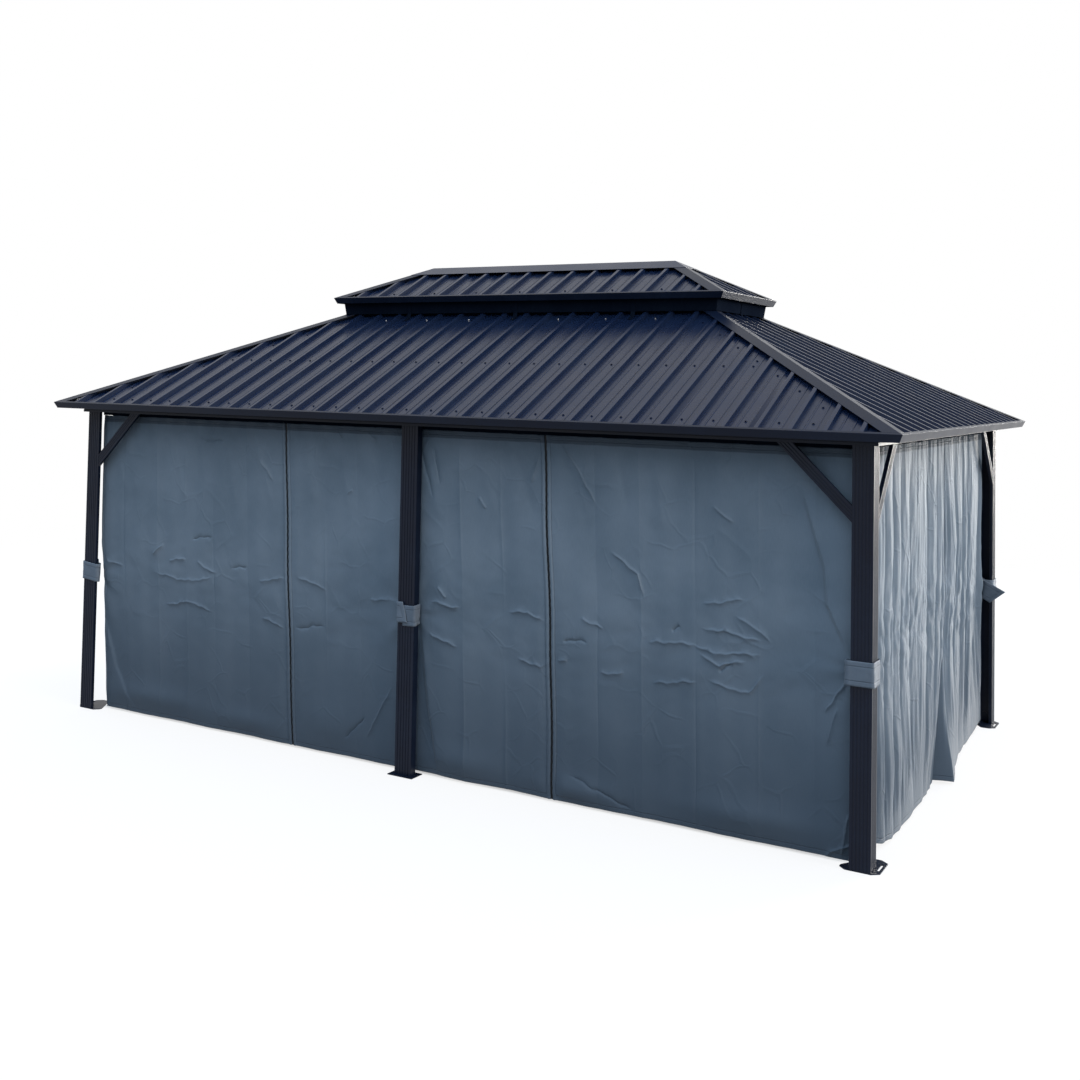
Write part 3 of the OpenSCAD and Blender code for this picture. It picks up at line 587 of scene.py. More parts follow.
def woven_cloth(name, shade, light, stitch, sheen, header=0.0):
    """Plain weave on the UV map in metres, with slubs, fading, stitched hems and a header."""
    finish, tree, shader = new_finish(name)
    flat = add(tree, "ShaderNodeUVMap", uv_map="cloth_metres")
    place = add(tree, "ShaderNodeTexCoord").outputs["Object"]
    yarns = {"Vector": flat, "Scale": WAVE_PERIOD / YARN, "Distortion": 0.6, "Detail": 1.0}
    warp, weft = [add(tree, "ShaderNodeTexWave", yarns, bands_direction=axis).outputs["Fac"] for axis in "XY"]
    weave = add(tree, "ShaderNodeMath", {0: warp, 1: weft}, operation="MULTIPLY")
    slub_place = add(tree, "ShaderNodeMapping", {"Vector": flat, "Scale": (1 / SLUB[0], 1 / SLUB[1], 1)})
    slubs = add(tree, "ShaderNodeTexNoise", {"Vector": slub_place, "Scale": 1.0, "Detail": 2.0})
    fading = add(tree, "ShaderNodeTexNoise", {"Vector": place, "Scale": 1 / FADE, "Detail": 5.0})
    blend = add(tree, "ShaderNodeMath", {0: slubs, 1: 0.2, 2: fading}, operation="MULTIPLY_ADD")
    tint = add(tree, "ShaderNodeMapRange", {0: blend, 1: 0.42, 2: 0.78})
    tone = add(
        tree, "ShaderNodeMix", {0: tint, 6: colour(shade), 7: colour(light)}, data_type="RGBA").outputs[2]
    if header:
        height = add(tree, "ShaderNodeSeparateXYZ", {0: flat}).outputs["Y"]
        # Painted shade: the tone darkens towards the hem
        painted_hem_shade = add(
            tree, "ShaderNodeMapRange", {0: height, 1: 0.0, 2: HEM_SHADE_END, 3: 0.9, 4: 0.0},
            interpolation_type="SMOOTHSTEP")
        tone = add(tree, "ShaderNodeMix", {0: painted_hem_shade, 6: tone, 7: colour(HEM_SHADE)}, data_type="RGBA").outputs[2]
        start = DROP - HEADER
        band = add(tree, "ShaderNodeMapRange", {
            0: height, 1: start - HEADER_EDGE, 2: start + HEADER_EDGE, 3: 0.0, 4: header})
        tone = add(tree, "ShaderNodeMix", {0: band, 6: tone, 7: colour(stitch)}, data_type="RGBA").outputs[2]
    edge = add(tree, "ShaderNodeAttribute", attribute_name="edge_distance").outputs["Fac"]
    from_seam = add(tree, "ShaderNodeMath", {0: edge, 1: HEM_STITCH}, operation="SUBTRACT")
    seam_gap = add(tree, "ShaderNodeMath", {0: from_seam}, operation="ABSOLUTE")
    seam = add(tree, "ShaderNodeMapRange", {0: seam_gap, 1: 0.0, 2: 0.004, 3: 1.0, 4: 0.0})
    darker = add(tree, "ShaderNodeMath", {0: seam, 1: 0.35}, operation="MULTIPLY")
    sewn = add(tree, "ShaderNodeMix", {0: darker, 6: tone, 7: colour(stitch)}, data_type="RGBA").outputs[2]
    tree.links.new(sewn, shader.inputs["Base Color"])
    shader.inputs["Roughness"].default_value = 0.72
    shader.inputs["Specular IOR Level"].default_value = 0.25
    shader.inputs["Sheen Weight"].default_value = sheen
    shader.inputs["Sheen Roughness"].default_value = 0.5
    threads = add(tree, "ShaderNodeBump", {"Strength": 0.5, "Distance": 0.0006, "Height": weave})
    drift = add(tree, "ShaderNodeTexNoise", {"Vector": flat, "Scale": 1 / DRIFT, "Detail": 2.0})
    bent = add(
        tree, "ShaderNodeVectorMath", {0: drift.outputs["Color"], 1: BEND, 2: flat}, operation="MULTIPLY_ADD")
    facets = add(
        tree, "ShaderNodeTexVoronoi", {"Vector": bent, "Scale": 1 / FACET}, feature="DISTANCE_TO_EDGE")
    patches = add(tree, "ShaderNodeTexNoise", {"Vector": flat, "Scale": 1 / HANDLED, "Detail": 1.0})
    handled = add(tree, "ShaderNodeMapRange", {0: patches, 1: 0.46, 2: 0.62})
    line = add(tree, "ShaderNodeMapRange", {0: facets.outputs["Distance"], 1: 0.0, 2: 0.07, 3: 1.0, 4: 0.0})
    ridge = add(tree, "ShaderNodeMath", {0: line, 1: handled}, operation="MULTIPLY")
    wrinkles = add(tree, "ShaderNodeBump", {
        "Strength": 1.0, "Distance": WRINKLE, "Height": ridge, "Normal": threads})
    sunk = add(tree, "ShaderNodeMath", {0: seam, 1: -1.0}, operation="MULTIPLY")
    groove = add(
        tree, "ShaderNodeBump", {"Strength": 0.8, "Distance": 0.002, "Height": sunk, "Normal": wrinkles})
    tree.links.new(groove.outputs[0], shader.inputs["Normal"])
    return finish


polyester = woven_cloth("woven_polyester", "#667079", "#777f87", "#2b323b", sheen=0.08, header=0.62)
strap_cloth = woven_cloth("woven_polyester_strap", "#5d636b", "#6d737b", "#333a43", sheen=0.08)
tape_cloth = woven_cloth("woven_zip_tape", "#0f1216", "#1b1f25", "#08090b", sheen=0.02)
print("cloths:", polyester.name, strap_cloth.name, tape_cloth.name, "- yarn drawn at", YARN * 1000, "mm")

# %% [markdown]
# ## Shape of hanging cloth
# A cloth simulation would not put each crease in its place, so the folds are drawn
# as heights over the flat cloth, each with its cause: packing folds from the box,
# slow waves, creases where the cloth was gripped and pulled, and steps where one
# fold lies over another. A crease has one gentle and one steep flank, as folded
# cloth has: the steep one catches a thin line of the sky, or of the ground's
# shade. The cloth starts as a flat grid, which is cut finer beside the creases.
# The heights push it outwards, and Solidify gives the cloth its thickness.

# %% Cloth helpers
CLOTH_THICK = 0.0012
FINE_EDGE = (0.0, 0.004, 0.008, 0.012, 0.017, 0.023, 0.03)
FOLD_STEPS = (-0.009, -0.0045, 0.0, 0.0045, 0.009)
GENTLE = 1.7


def smooth(x, low, high):
    """Goes from 0 at low to 1 at high without a corner."""
    t = np.clip((x - low) / (high - low), 0, 1)
    return t * t * (3 - 2 * t)


def beside(x, z, line):
    """Distance of points from a line of points, signed: positive to its left. Also how far along, 0 to 1."""
    gap, run = np.full(x.shape, 1e9), np.zeros(x.shape)
    side = np.ones(x.shape)
    total = sum(math.dist(a, b) for a, b in zip(line, line[1:]))
    start = 0.0
    for a, b in zip(line, line[1:]):
        length = math.dist(a, b)
        ux, uz = (b[0] - a[0]) / length, (b[1] - a[1]) / length
        t = np.clip((x - a[0]) * ux + (z - a[1]) * uz, 0, length)
        this = np.hypot(x - a[0] - t * ux, z - a[1] - t * uz)
        near = this < gap
        gap = np.where(near, this, gap)
        side = np.where(near, np.sign((z - a[1]) * ux - (x - a[0]) * uz), side)
        run = np.where(near, (start + t) / total, run)
        start += length
    return gap * side, run


def crease(x, z, line, width, height):
    """A sharp fold along a line: a ridge, or a valley where the height is negative.

    A ridge is steep above and gentle below, a valley the other way round.
    """
    gap, run = beside(x, z, line)
    reach = np.where((gap > 0) == (height > 0), width, GENTLE * width)
    return height * smooth(run, 0, 0.2) * smooth(1 - run, 0, 0.2) * np.exp(-np.abs(gap) / reach)


def step_fold(x, z, line, width, height, reach):
    """One fold lying over another: the cloth left of the line stands proud by the height."""
    gap, run = beside(x, z, line)
    fade = smooth(run, -0.05, 0.2) * smooth(1 - run, -0.05, 0.2)
    return height / 2 * np.tanh(gap / width) * fade * np.exp(-np.abs(gap) / reach)


def crumple(u, v, size, seed):
    """Sharp valleys between facets, as in cloth that was squeezed: 0 in a valley, up to about 1."""
    flat = np.stack([u.ravel() / size[0], v.ravel() / size[1]], axis=1)
    values = [
        abs(noise.noise((a, b, seed))) + 0.5 * abs(noise.noise((2.1 * a, 2.1 * b, seed + 7.3)))
        for a, b in flat]
    return np.array(values).reshape(u.shape)


def grid_line(length, step, folds=()):
    """Even steps over a length, with finer ones at both ends and beside folds."""
    fine = np.array(FINE_EDGE if length > 0.1 else FINE_EDGE[:2])
    inner = np.linspace(fine[-1], length - fine[-1], round((length - 2 * fine[-1]) / step) + 1)
    for fold in folds:
        if fine[-1] + FOLD_STEPS[-1] < fold < length - fine[-1] - FOLD_STEPS[-1]:
            away = inner[np.abs(inner - fold) > FOLD_STEPS[-1] + step / 3]
            inner = np.sort(np.concatenate([away, fold + np.array(FOLD_STEPS)]))
    return np.concatenate([fine[:-1], inner, length - fine[-2::-1]])


def flat_cloth(name, across, up, creased=None, cuts=0):
    """A flat grid of cloth in metres. Cells where creased(u, v) is true are cut finer."""
    columns = len(across)
    first = [row * columns + column for row in range(len(up) - 1) for column in range(columns - 1)]
    mesh = bpy.data.meshes.new(name)
    points = [(u, v, 0) for v in up for u in across]
    mesh.from_pydata(points, [], [(i, i + 1, i + columns + 1, i + columns) for i in first])
    if cuts:
        cells = bmesh.new()
        cells.from_mesh(mesh)
        place = np.array([vert.co[:2] for vert in cells.verts])
        near = creased(place[:, 0], place[:, 1])
        edges = [edge for edge in cells.edges if all(near[vert.index] for vert in edge.verts)]
        bmesh.ops.subdivide_edges(cells, edges=edges, cuts=cuts, use_grid_fill=True)
        cells.to_mesh(mesh)
        cells.free()
    return mesh


def shape_cloth(mesh, flat, shape):
    """Moves a flat cloth to shape(u, v).

    Its metres stay as the UV map, and its distance to the edge as an attribute.
    """
    place = np.empty(3 * len(mesh.vertices), dtype=np.float32)
    mesh.vertices.foreach_get("co", place)
    u, v = place.reshape(-1, 3)[:, :2].T.astype(float)
    mesh.vertices.foreach_set("co", shape(u, v).astype(np.float32).ravel())
    corner = np.empty(len(mesh.loops), dtype=np.int32)
    mesh.loops.foreach_get("vertex_index", corner)
    layer = mesh.uv_layers.new(name="cloth_metres")
    layer.data.foreach_set("uv", np.stack([u[corner], v[corner]], axis=1).astype(np.float32).ravel())
    edge = np.minimum(np.minimum(u, flat[0] - u), np.minimum(v, flat[1] - v))
    mesh.attributes.new("edge_distance", "FLOAT", "POINT").data.foreach_set("value", edge.astype(np.float32))
    mesh.update()


def thicken(piece, thickness):
    """Gives a sheet its thickness and smooth shading."""
    thick = piece.modifiers.new("thickness", "SOLIDIFY")
    thick.thickness = thickness
    thick.offset = 0
    make_plain(piece)
    piece.data.polygons.foreach_set("use_smooth", np.ones(len(piece.data.polygons), dtype=bool))


def cloth_piece(name, side, flat, step, shape, finish, node, folds=(), creased=None, cuts=0):
    """A sheet of cloth, shaped by shape(u, v) in the side's directions."""
    mesh = flat_cloth(name, grid_line(flat[0], step[0], folds), grid_line(flat[1], step[1]), creased, cuts)
    shape_cloth(mesh, flat, lambda u, v: to_frame(side, *shape(u, v)))
    piece = new_piece(name, mesh, finish)
    thicken(piece, CLOTH_THICK)
    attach(piece, "root")
    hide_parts(node)
    print(name, len(piece.data.polygons), "faces")


print("cloth", CLOTH_THICK * 1000, "mm thick")

# %% [markdown]
# ## Curtains of the long sides
# Three panels hang nearly flat on each long side and are zipped to each other.
# They came folded from the box, so they are flat strips at slightly different
# angles, with a sharp kink between them. Each crease is a line of points (x, z) on
# the cloth, drawn from left to right. Most lie at hand height, where the cloth is
# gripped to draw and to tie it. The back gets the same ones mirrored.

# %% Creases of the long sides
LONG_PLANE = 1.585
PANEL_EDGES = (-2.48, -0.87, 0.87, 2.48)
GRIPS = [
    [(-1.901, 0.733), (-1.664, 0.781), (-1.47, 0.727)], [(-1.678, 1.169), (-1.497, 1.203)],
    [(-2.009, 1.04), (-1.916, 1.126)], [(-1.87, 1.021), (-1.715, 1.043)], [(-1.633, 1.035), (-1.449, 0.969)],
    [(-2.005, 0.939), (-1.73, 0.904), (-1.468, 0.945)], [(-1.351, 1.016), (-1.215, 1.036)],
    [(-1.126, 0.963), (-0.893, 1.001)], [(-0.828, 1.007), (-0.709, 0.997), (-0.6, 0.951)],
    [(-1.091, 0.747), (-0.902, 0.703)], [(-0.846, 0.703), (-0.612, 0.751)],
    [(-0.295, 0.941), (-0.102, 0.948)], [(-2.435, 0.979), (-2.266, 0.946)],
    [(-0.557, 1.894), (-0.512, 1.846)], [(-0.339, 1.909), (-0.269, 1.856)],
    [(-1.64, 1.798), (-1.418, 1.8)], [(-0.452, 0.113), (-0.302, 0.261)], [(-0.298, 0.138), (-0.122, 0.466)],
    [(-0.467, 1.529), (-0.425, 1.56)], [(-1.142, 1.708), (-1.023, 1.581)],
    [(0.117, 0.975), (0.323, 0.953)], [(0.167, 1.06), (0.229, 0.994)], [(0.113, 0.8), (0.312, 0.737)],
    [(0.612, 0.964), (0.74, 0.978), (0.851, 0.935)], [(0.673, 0.733), (0.824, 0.698), (0.878, 0.725)],
    [(0.917, 0.744), (0.978, 0.752)], [(1.049, 0.985), (1.185, 0.94)], [(0.945, 0.857), (1.097, 0.862)],
    [(1.418, 0.895), (1.475, 0.915), (1.697, 0.923)],
    [(1.45, 0.702), (1.7, 0.743)], [(1.159, 0.715), (1.306, 0.728)],
    [(1.207, 1.353), (1.37, 1.24), (1.408, 1.112)], [(0.902, 1.9), (1.02, 1.754), (1.136, 1.57)],
    [(0.122, 1.838), (0.171, 1.621)], [(0.026, 1.833), (0.129, 1.545)], [(0.741, 1.669), (0.801, 1.84)],
    [(0.418, 1.578), (0.469, 1.51)], [(0.989, 0.17), (1.375, 0.041)],
    [(1.712, 1.126), (1.939, 1.174)], [(1.882, 1.098), (1.984, 1.04), (2.07, 0.975)],
    [(1.707, 1.008), (1.825, 1.008), (2.028, 0.976)], [(1.701, 0.88), (1.813, 0.838), (1.95, 0.877)],
    [(1.663, 0.925), (1.768, 0.895), (2.028, 0.915)], [(1.806, 0.809), (1.878, 0.854)],
    [(1.74, 0.758), (1.959, 0.719), (2.036, 0.826)], [(1.556, 0.976), (1.601, 1.01)],
    [(2.321, 0.677), (2.433, 0.853)], [(2.336, 0.533), (2.388, 0.727)], [(2.408, 0.02), (2.445, 0.247)],
    [(2.328, 0.02), (2.46, 0.105)], [(1.758, 1.621), (1.877, 1.531)],
]
# Upright packing folds, at these x
PACKING = (
    -2.28, -1.97, -1.72, -1.48, -1.2, -0.6, -0.35, -0.02, 0.34, 0.59, 1.145, 1.39, 1.684, 2.004, 2.28,
)
# Folds that lie over each other: the line, the width of the step, its height and its reach
OVERLAPS = [
    ([(0.193, 0.038), (0.115, 0.379), (0.051, 0.851)], 0.010, -0.020, 0.16),
    ([(2.445, 0.948), (2.33, 1.188), (2.314, 1.362), (2.201, 1.733)], 0.008, -0.024, 0.16),
    ([(-2.153, 0.073), (-2.305, 0.287), (-2.418, 0.59)], 0.010, 0.013, 0.14),
]
# Soft bulges low on the cloth: place of the middle (x, z), half width, half height and how far it stands out
BILLOWS = [
    (-1.95, 0.14, 0.34, 0.07, 0.019), (-1.2, 0.11, 0.22, 0.06, 0.015), (-0.55, 0.2, 0.16, 0.12, 0.017),
    (0.35, 0.12, 0.2, 0.08, 0.018), (1.02, 0.09, 0.2, 0.06, 0.022), (1.95, 0.13, 0.3, 0.07, 0.019),
]
print("creases", len(GRIPS), "folds", len(PACKING), "overlaps", len(OVERLAPS), "billows", len(BILLOWS))

# %% Shape of a long side's panel
STRAP_Z, STRAP_AT = 0.9, (-2.50, 0.0, 2.50)
HAND_Z, HAND_REACH = 0.92, 0.24
CREASE_REACH = 0.02  # the grid is finer this near to a crease
RIDGE_SHARE = 0.8  # of the creases; the others are valleys
SWAG_TOP = 1.91
HOOK_SPACE = 0.15
POST_CLEAR, TIE_CLEAR, MOST_OUT = 0.008, 0.009, 0.034  # farthest out at posts, at straps, elsewhere
FOLD_CLEAR = 0.06  # packing folds keep this far from a panel's edges
ZIP_HALF = 0.006
HEM_CURL, CURL_FROM = 0.013, 0.16


def edge_shift(side, x, z):
    """How far a panel's edge at x runs sideways at a height; the two panels at a zip share it."""
    if side == "front":
        lean = {
            -2.48: ((0.1, 0.45, 1.1, 1.5), (0.09, 0.07, 0.012, 0.0)), -0.87: ((0.018, 1.93), (0.037, -0.072)),
            0.87: ((0.018, 0.93, 1.93), (0.032, 0.004, -0.048)), 2.48: ((0.0, 1.9), (0.0, 0.0))}[x]
        return np.interp(z, *lean) + 0.0025 * np.sin(9 * z + 5 * x)
    return 0.008 * np.sin(3.1 * z + 4 * x) + 0.003 * np.sin(11 * z + 2 * x)


def zip_depth(side, x, z):
    """How far the zip at x stands out of the curtain's plane."""
    curl = 0.5 * HEM_CURL * (1 - z / CURL_FROM).clip(0) ** 2
    return 0.004 * np.sin(4 * z + 3 * x + (0 if side == "front" else 1.7)) - curl


def panel_folds(side, left, right):
    """Packing folds of a panel, as distances from its left edge."""
    flip = 1 if side == "front" else -1
    return sorted(flip * x - left for x in PACKING if left + FOLD_CLEAR < flip * x < right - FOLD_CLEAR)


def long_panel(side, number, left, right):
    """Shape of one panel of a long side, and where it is creased."""
    random = np.random.default_rng(10 * number + (3 if side == "front" else 60))
    seed = random.uniform(0, 50)
    width = right - left
    flip = 1 if side == "front" else -1
    waves = [
        (random.uniform(0.5, 0.95), random.uniform(0, 6.28), random.uniform(0.0015, 0.003)) for _ in range(3)]
    kinks = np.array([0.0, *panel_folds(side, left, right), width])
    depths = np.array([(-1) ** i * random.uniform(0.003, 0.006) for i in range(len(kinks))])
    edges = [
        (x, random.choice([-1, 1]) * random.uniform(0.0026, 0.0042), random.uniform(0, 6.28))
        for x in kinks[1:-1]]
    grips = []
    for line in GRIPS:
        here = [(flip * x, z) for x, z in line][::flip]
        if any(left - 0.1 < x < right + 0.1 for x, _ in here):
            ridge = 1 if random.uniform() < RIDGE_SHARE else -1
            grips.append((here, random.uniform(0.004, 0.0055), ridge * random.uniform(0.008, 0.0125)))
    swags = []
    for x in left + kinks[:-1]:
        start, end = x + random.uniform(0.0, 0.08), x + random.uniform(0.08, 0.26)
        depth = random.choice([-1, 1]) * random.uniform(0.004, 0.0075)
        pull = [(start, SWAG_TOP), (end, random.uniform(1.3, 1.62))]
        swags.append((pull, random.uniform(0.02, 0.036), depth))
    steps = OVERLAPS if side == "front" else []

    def place(u, v):
        z, t = HEM_Z + v, u / width
        return left + u + (1 - t) * edge_shift(side, left, z) + t * edge_shift(side, right, z), z

    def creased(u, v):
        x, z = place(u, v)
        lines = [line for line, *_ in grips + steps]
        return np.min([np.abs(beside(x, z, line)[0]) for line in lines], axis=0) < CREASE_REACH

    def shape(u, v):
        along, z = place(u, v)
        low = np.clip(1 - v / DROP, 0, 1)
        # Slow waves, the flat strips between packing folds, and the folds themselves
        out = sum(a * np.sin(2 * math.pi * u / w + p + 0.8 * v) for w, p, a in waves) * (0.4 + 0.7 * low)
        out += np.interp(u, kinks, depths) * (0.6 + 0.4 * np.sin(2.1 * v + seed))
        for x, height, start in edges:
            out += height * (0.6 + 0.4 * np.sin(5 * v + start)) * np.exp(-np.abs(u - x) / 0.007)
        # Creases and swags along slightly wavy lines, and a crumpled band at hand height
        wavy = z + 0.004 * np.sin(38 * along + 3 * np.sin(17 * z)) + 0.0022 * np.sin(97 * along + 40 * z)
        for line, reach, height in grips + swags:
            out += crease(along, wavy, line, reach, height)
        hand = np.exp(-(((z - HAND_Z) / HAND_REACH) ** 2))
        out += (0.006 * hand + 0.002) * (crumple(u, v, (0.26, 0.17), seed) - 0.25)
        # Short rays round each strap, overlapping folds, bulges and the hem
        for x in STRAP_AT:
            reach = np.hypot(along - x, 0.8 * (z - STRAP_Z))
            turn = np.arctan2(z - STRAP_Z, along - x)
            star = 0.6 * np.sin(7 * turn + seed) + 0.4 * np.sin(12 * turn + 2 * seed)
            out += 0.007 * star * np.exp(-reach / 0.2) * smooth(reach, 0.02, 0.12)
        for overlap in steps:
            out += step_fold(along, z, *overlap)
        for x, height, half_width, half_height, depth in BILLOWS:
            across, up = (along - flip * x) / half_width, (z - height) / half_height
            out += depth * np.exp(-(across**2) - up**2)
        out -= HEM_CURL * np.clip(1 - z / CURL_FROM, 0, 1) ** 2
        # The header is held flat, but for small waves between the hooks
        hooks = 0.0012 + 0.0035 * np.exp((v - DROP) / 0.09)
        ripple = np.sin(2 * math.pi * u / HOOK_SPACE + np.sin(3 * u + seed))
        out = out * smooth(v, DROP + 0.01, DROP - 0.1) + hooks * ripple
        # Beside a zip the cloth lies in the zip's plane, with a puckered seam
        for x, inset, inwards in ((left, u, 1), (right, width - u, -1)):
            if abs(x) < 1:
                depth = zip_depth(side, x, z)
                out = depth + (out - depth) * smooth(inset, 0.0, 0.09)
                out += 0.006 * np.exp(-(((inset - 0.011) / 0.008) ** 2))
                out += 0.0016 * np.sin(2 * math.pi * z / 0.05 + 3 * np.sin(5 * z)) * np.exp(-inset / 0.03)
                along = along + inwards * ZIP_HALF * (1 - smooth(inset, 0.0, 0.06))
        # Posts and straps hold the cloth back
        behind_post = 1 - smooth(np.abs(along), 0.075, 0.15)
        out = np.minimum(out, POST_CLEAR * behind_post + MOST_OUT * (1 - behind_post))
        tied = smooth(np.abs(along), 2.34, 2.42) * (1 - smooth(np.abs(z - STRAP_Z), 0.07, 0.15))
        out = np.minimum(out, TIE_CLEAR * tied + MOST_OUT * (1 - tied))
        sag = 0.0008 * (1 - np.cos(2 * math.pi * u / HOOK_SPACE)) * smooth(v, DROP - 0.2, DROP)
        return along, LONG_PLANE + out, z - sag

    return shape, creased


print("panels hang from", CLOTH_TOP, "to", HEM_Z, "m, straps at", STRAP_Z, "m")

# %% Panels of the long sides
# Steps of the grid across and up, and how often a creased cell is cut
for side, step, cuts in (("front", (0.0142, 0.015), 3), ("back", (0.021, 0.023), 2)):
    for number, (left, right) in enumerate(zip(PANEL_EDGES, PANEL_EDGES[1:])):
        shape, creased = long_panel(side, number, left, right)
        cloth_piece(
            f"{side}_panel_{number + 1}", side, (right - left, DROP), step, shape, polyester,
            side + "_curtains", panel_folds(side, left, right), creased, cuts)

# %% [markdown]
# ## Curtains of the ends
# Two panels on each end are gathered on the rail, so they hang in pleats with
# rounded crests and sharp valleys, and fine upright wrinkles between them. The
# second panel's inner part turns inwards and laps behind the first one's edge.
# Lower down it swings out like a door ajar, so that the turned part shows there
# as a dark wedge.

# %% Left and right end panels
END_PLANE = 2.495
END_EDGE = 1.50
DRAW_IN = 0.03
FULLNESS = 1.16
# For each end: heights, and at each of them where the first panel's edge is, where the
# second panel turns inwards, how far in it goes and how far that fold stands out; then
# how deep the pleats are
PARTINGS = {
    "right": (
        (0.0, 0.4, 0.75, 1.0, 1.3, 1.65, 1.93), (-0.06, 0.07, 0.22, 0.26, 0.26, 0.26, 0.28),
        (0.0, 0.13, 0.26, 0.30, 0.31, 0.30, 0.31), (0.22, 0.16, 0.12, 0.12, 0.12, 0.09, 0.035),
        (0.115, 0.06, 0.014, 0.02, 0.03, 0.014, 0.0), 1.0),
    "left": (
        (0.0, 0.6, 1.2, 1.93), (-0.08, -0.03, 0.02, 0.05),
        (-0.04, 0.02, 0.06, 0.08), (0.14, 0.1, 0.08, 0.035), (0.06, 0.03, 0.01, 0.0), 1.5),
}
LAP = 0.015
TURNED_CLOTH = 0.15
TURN_AT = 0.86
END_HAND_Z, END_HAND_REACH = 0.95, 0.3
FARTHEST_IN, FARTHEST_OUT = -0.16, 0.13
END_SEEDS = {"right": 105, "left": 141}


def end_panel(side, half, cut, pleats):
    """Shape of one end panel; half is -1 for the first one along the side, 1 for the second."""
    heights, edge, bend, turn_in, swing, fold = PARTINGS[side]
    random = np.random.default_rng(END_SEEDS[side] + half)
    seed = random.uniform(0, 50)
    drift = [(random.uniform(0.6, 2.4), random.uniform(0, 6.28), random.uniform(0.1, 0.26)) for _ in range(4)]

    def shape(u, v):
        t = u / cut if half < 0 else 1 - u / cut
        z = HEM_Z + v
        low = np.clip(1 - v / DROP, 0, 1)
        outer = half * (END_EDGE - DRAW_IN * smooth(z, 1.75, 0.0))
        inner = np.interp(z, heights, edge if half < 0 else bend)
        flat_part = 1.0 if half < 0 else TURN_AT
        along = outer + (inner - outer) * np.minimum(t / flat_part, 1)
        turned = np.clip((t - TURN_AT) / (1 - TURN_AT), 0, 1) if half > 0 else 0 * t
        # Pleats with rounded crests, shallow at the rail and nearly flat at the hem
        count = pleats * t + sum(a * np.sin(2 * math.pi * f * t + p + 0.9 * low) for f, p, a in drift)
        phase = math.pi * count
        ease = 1 - 0.88 * smooth(low, 0.8, 1.0)
        depth = fold * (0.010 + 0.013 * smooth(low, 0.0, 0.3)) * (1 - smooth(turned, 0.0, 0.3)) * ease
        calm = smooth(t, 0.0, 0.04) * smooth(1 - t, 0.0, 0.03)
        out = depth * (2 * np.abs(np.sin(phase)) ** 0.75 - 1.3) * calm
        # Upright wrinkles, a crumpled band at hand height, and a slow wave
        hand = np.exp(-(((z - END_HAND_Z) / END_HAND_REACH) ** 2))
        out += 0.011 * ease * (crumple(u + 0.02 * np.sin(3 * v), v, (0.05, 0.6), seed) - 0.4)
        out += 0.013 * hand * (crumple(u, v, (0.09, 0.12), seed + 3) - 0.35)
        out += 0.010 * np.sin(2.2 * math.pi * t + 1) * low
        # The first panel bellies out; the second swings out and turns inwards at its bend
        if half < 0:
            out += 0.05 * np.sin(math.pi * t) * smooth(low, 0.5, 1.0) - 0.06 * (1 - smooth(t, 0.0, 0.16))
        else:
            out += np.interp(z, heights, swing) * np.minimum(t / TURN_AT, 1) ** 2
            out -= np.interp(z, heights, turn_in) * turned
            along = along - (inner - np.interp(z, heights, edge) + LAP) * turned
        along = along + half * 0.3 * depth * np.cos(2 * phase) * calm
        lift = 0.03 * smooth(t, 0.25, 0.0) * low**1.5 + 0.003 * np.sin(2 * phase) * low**3
        return along, END_PLANE + np.clip(out, FARTHEST_IN, FARTHEST_OUT), z + lift

    return shape


# Steps of the grid across and up; then which panel, and how many pleats it has
for side, step in (("right", (0.0105, 0.017)), ("left", (0.016, 0.021))):
    edge, bend = PARTINGS[side][1:3]
    for half, pleats in ((-1, 7), (1, 6)):
        cut = FULLNESS * (END_EDGE + (edge[-1] if half < 0 else TURNED_CLOTH - bend[-1]))
        cloth_piece(
            f"{side}_panel_{1 if half < 0 else 2}", side, (cut, DROP), step,
            end_panel(side, half, cut, pleats), polyester, side + "_curtains")

# %% [markdown]
# ## Zips
# A coil zip joins the panels of a long side: a dark tape sewn behind their edges,
# and a row of nylon coils in the narrow gap between them. The tape is a ribbon of
# cloth along the seam. The coils repeat along it, so Geometry Nodes resample the
# seam's line every 6 mm and put one small bar on each point.

# %% Nylon and the coil tree
# Moulded nylon: near black, slightly glossy, with fine specks
nylon, shader = speckled("dyed_nylon_coil", "#0b0d10", "#171a1f", 3, (0.4, 0.6))
shader.inputs["Specular IOR Level"].default_value = 0.25


def coil_tree():
    """Geometry Nodes tree that sets a small bar every few millimetres along a line."""
    tree, given, ids = node_group("zip_coils", {
        "Line": "Geometry", "Pitch": "Float", "Bar Size": "Vector", "Finish": "Material"}, "Coils")
    line = add(tree, "GeometryNodeMeshToCurve", {"Mesh": given["Line"]})
    even = add(tree, "GeometryNodeResampleCurve", {"Curve": line, "Length": given["Pitch"]}, mode="LENGTH")
    bar = add(tree, "GeometryNodeMeshCube", {"Size": given["Bar Size"]})
    bars = add(tree, "GeometryNodeInstanceOnPoints", {"Points": even, "Instance": bar})
    end_group(tree, bars, given["Finish"])
    return tree, ids


COIL_TREE, COIL_IDS = coil_tree()
print("inputs of the coil tree:", *COIL_IDS)

# %% Tapes and coils
TAPE_HALF = 0.014
TAPE_BACK = 0.003
COIL_PITCH = 0.006
COIL_BAR = (0.008, 0.0022, 0.0036)
COIL_PROUD = 0.0015
COIL_INSET, LINE_POINTS = 0.01, 120


def tape_shape(side, x):
    """Shape of a zip's tape behind the panels' edges."""
    def shape(u, v):
        z = HEM_Z + v
        return x + u - TAPE_HALF + edge_shift(side, x, z), LONG_PLANE + zip_depth(side, x, z) - TAPE_BACK, z
    return shape


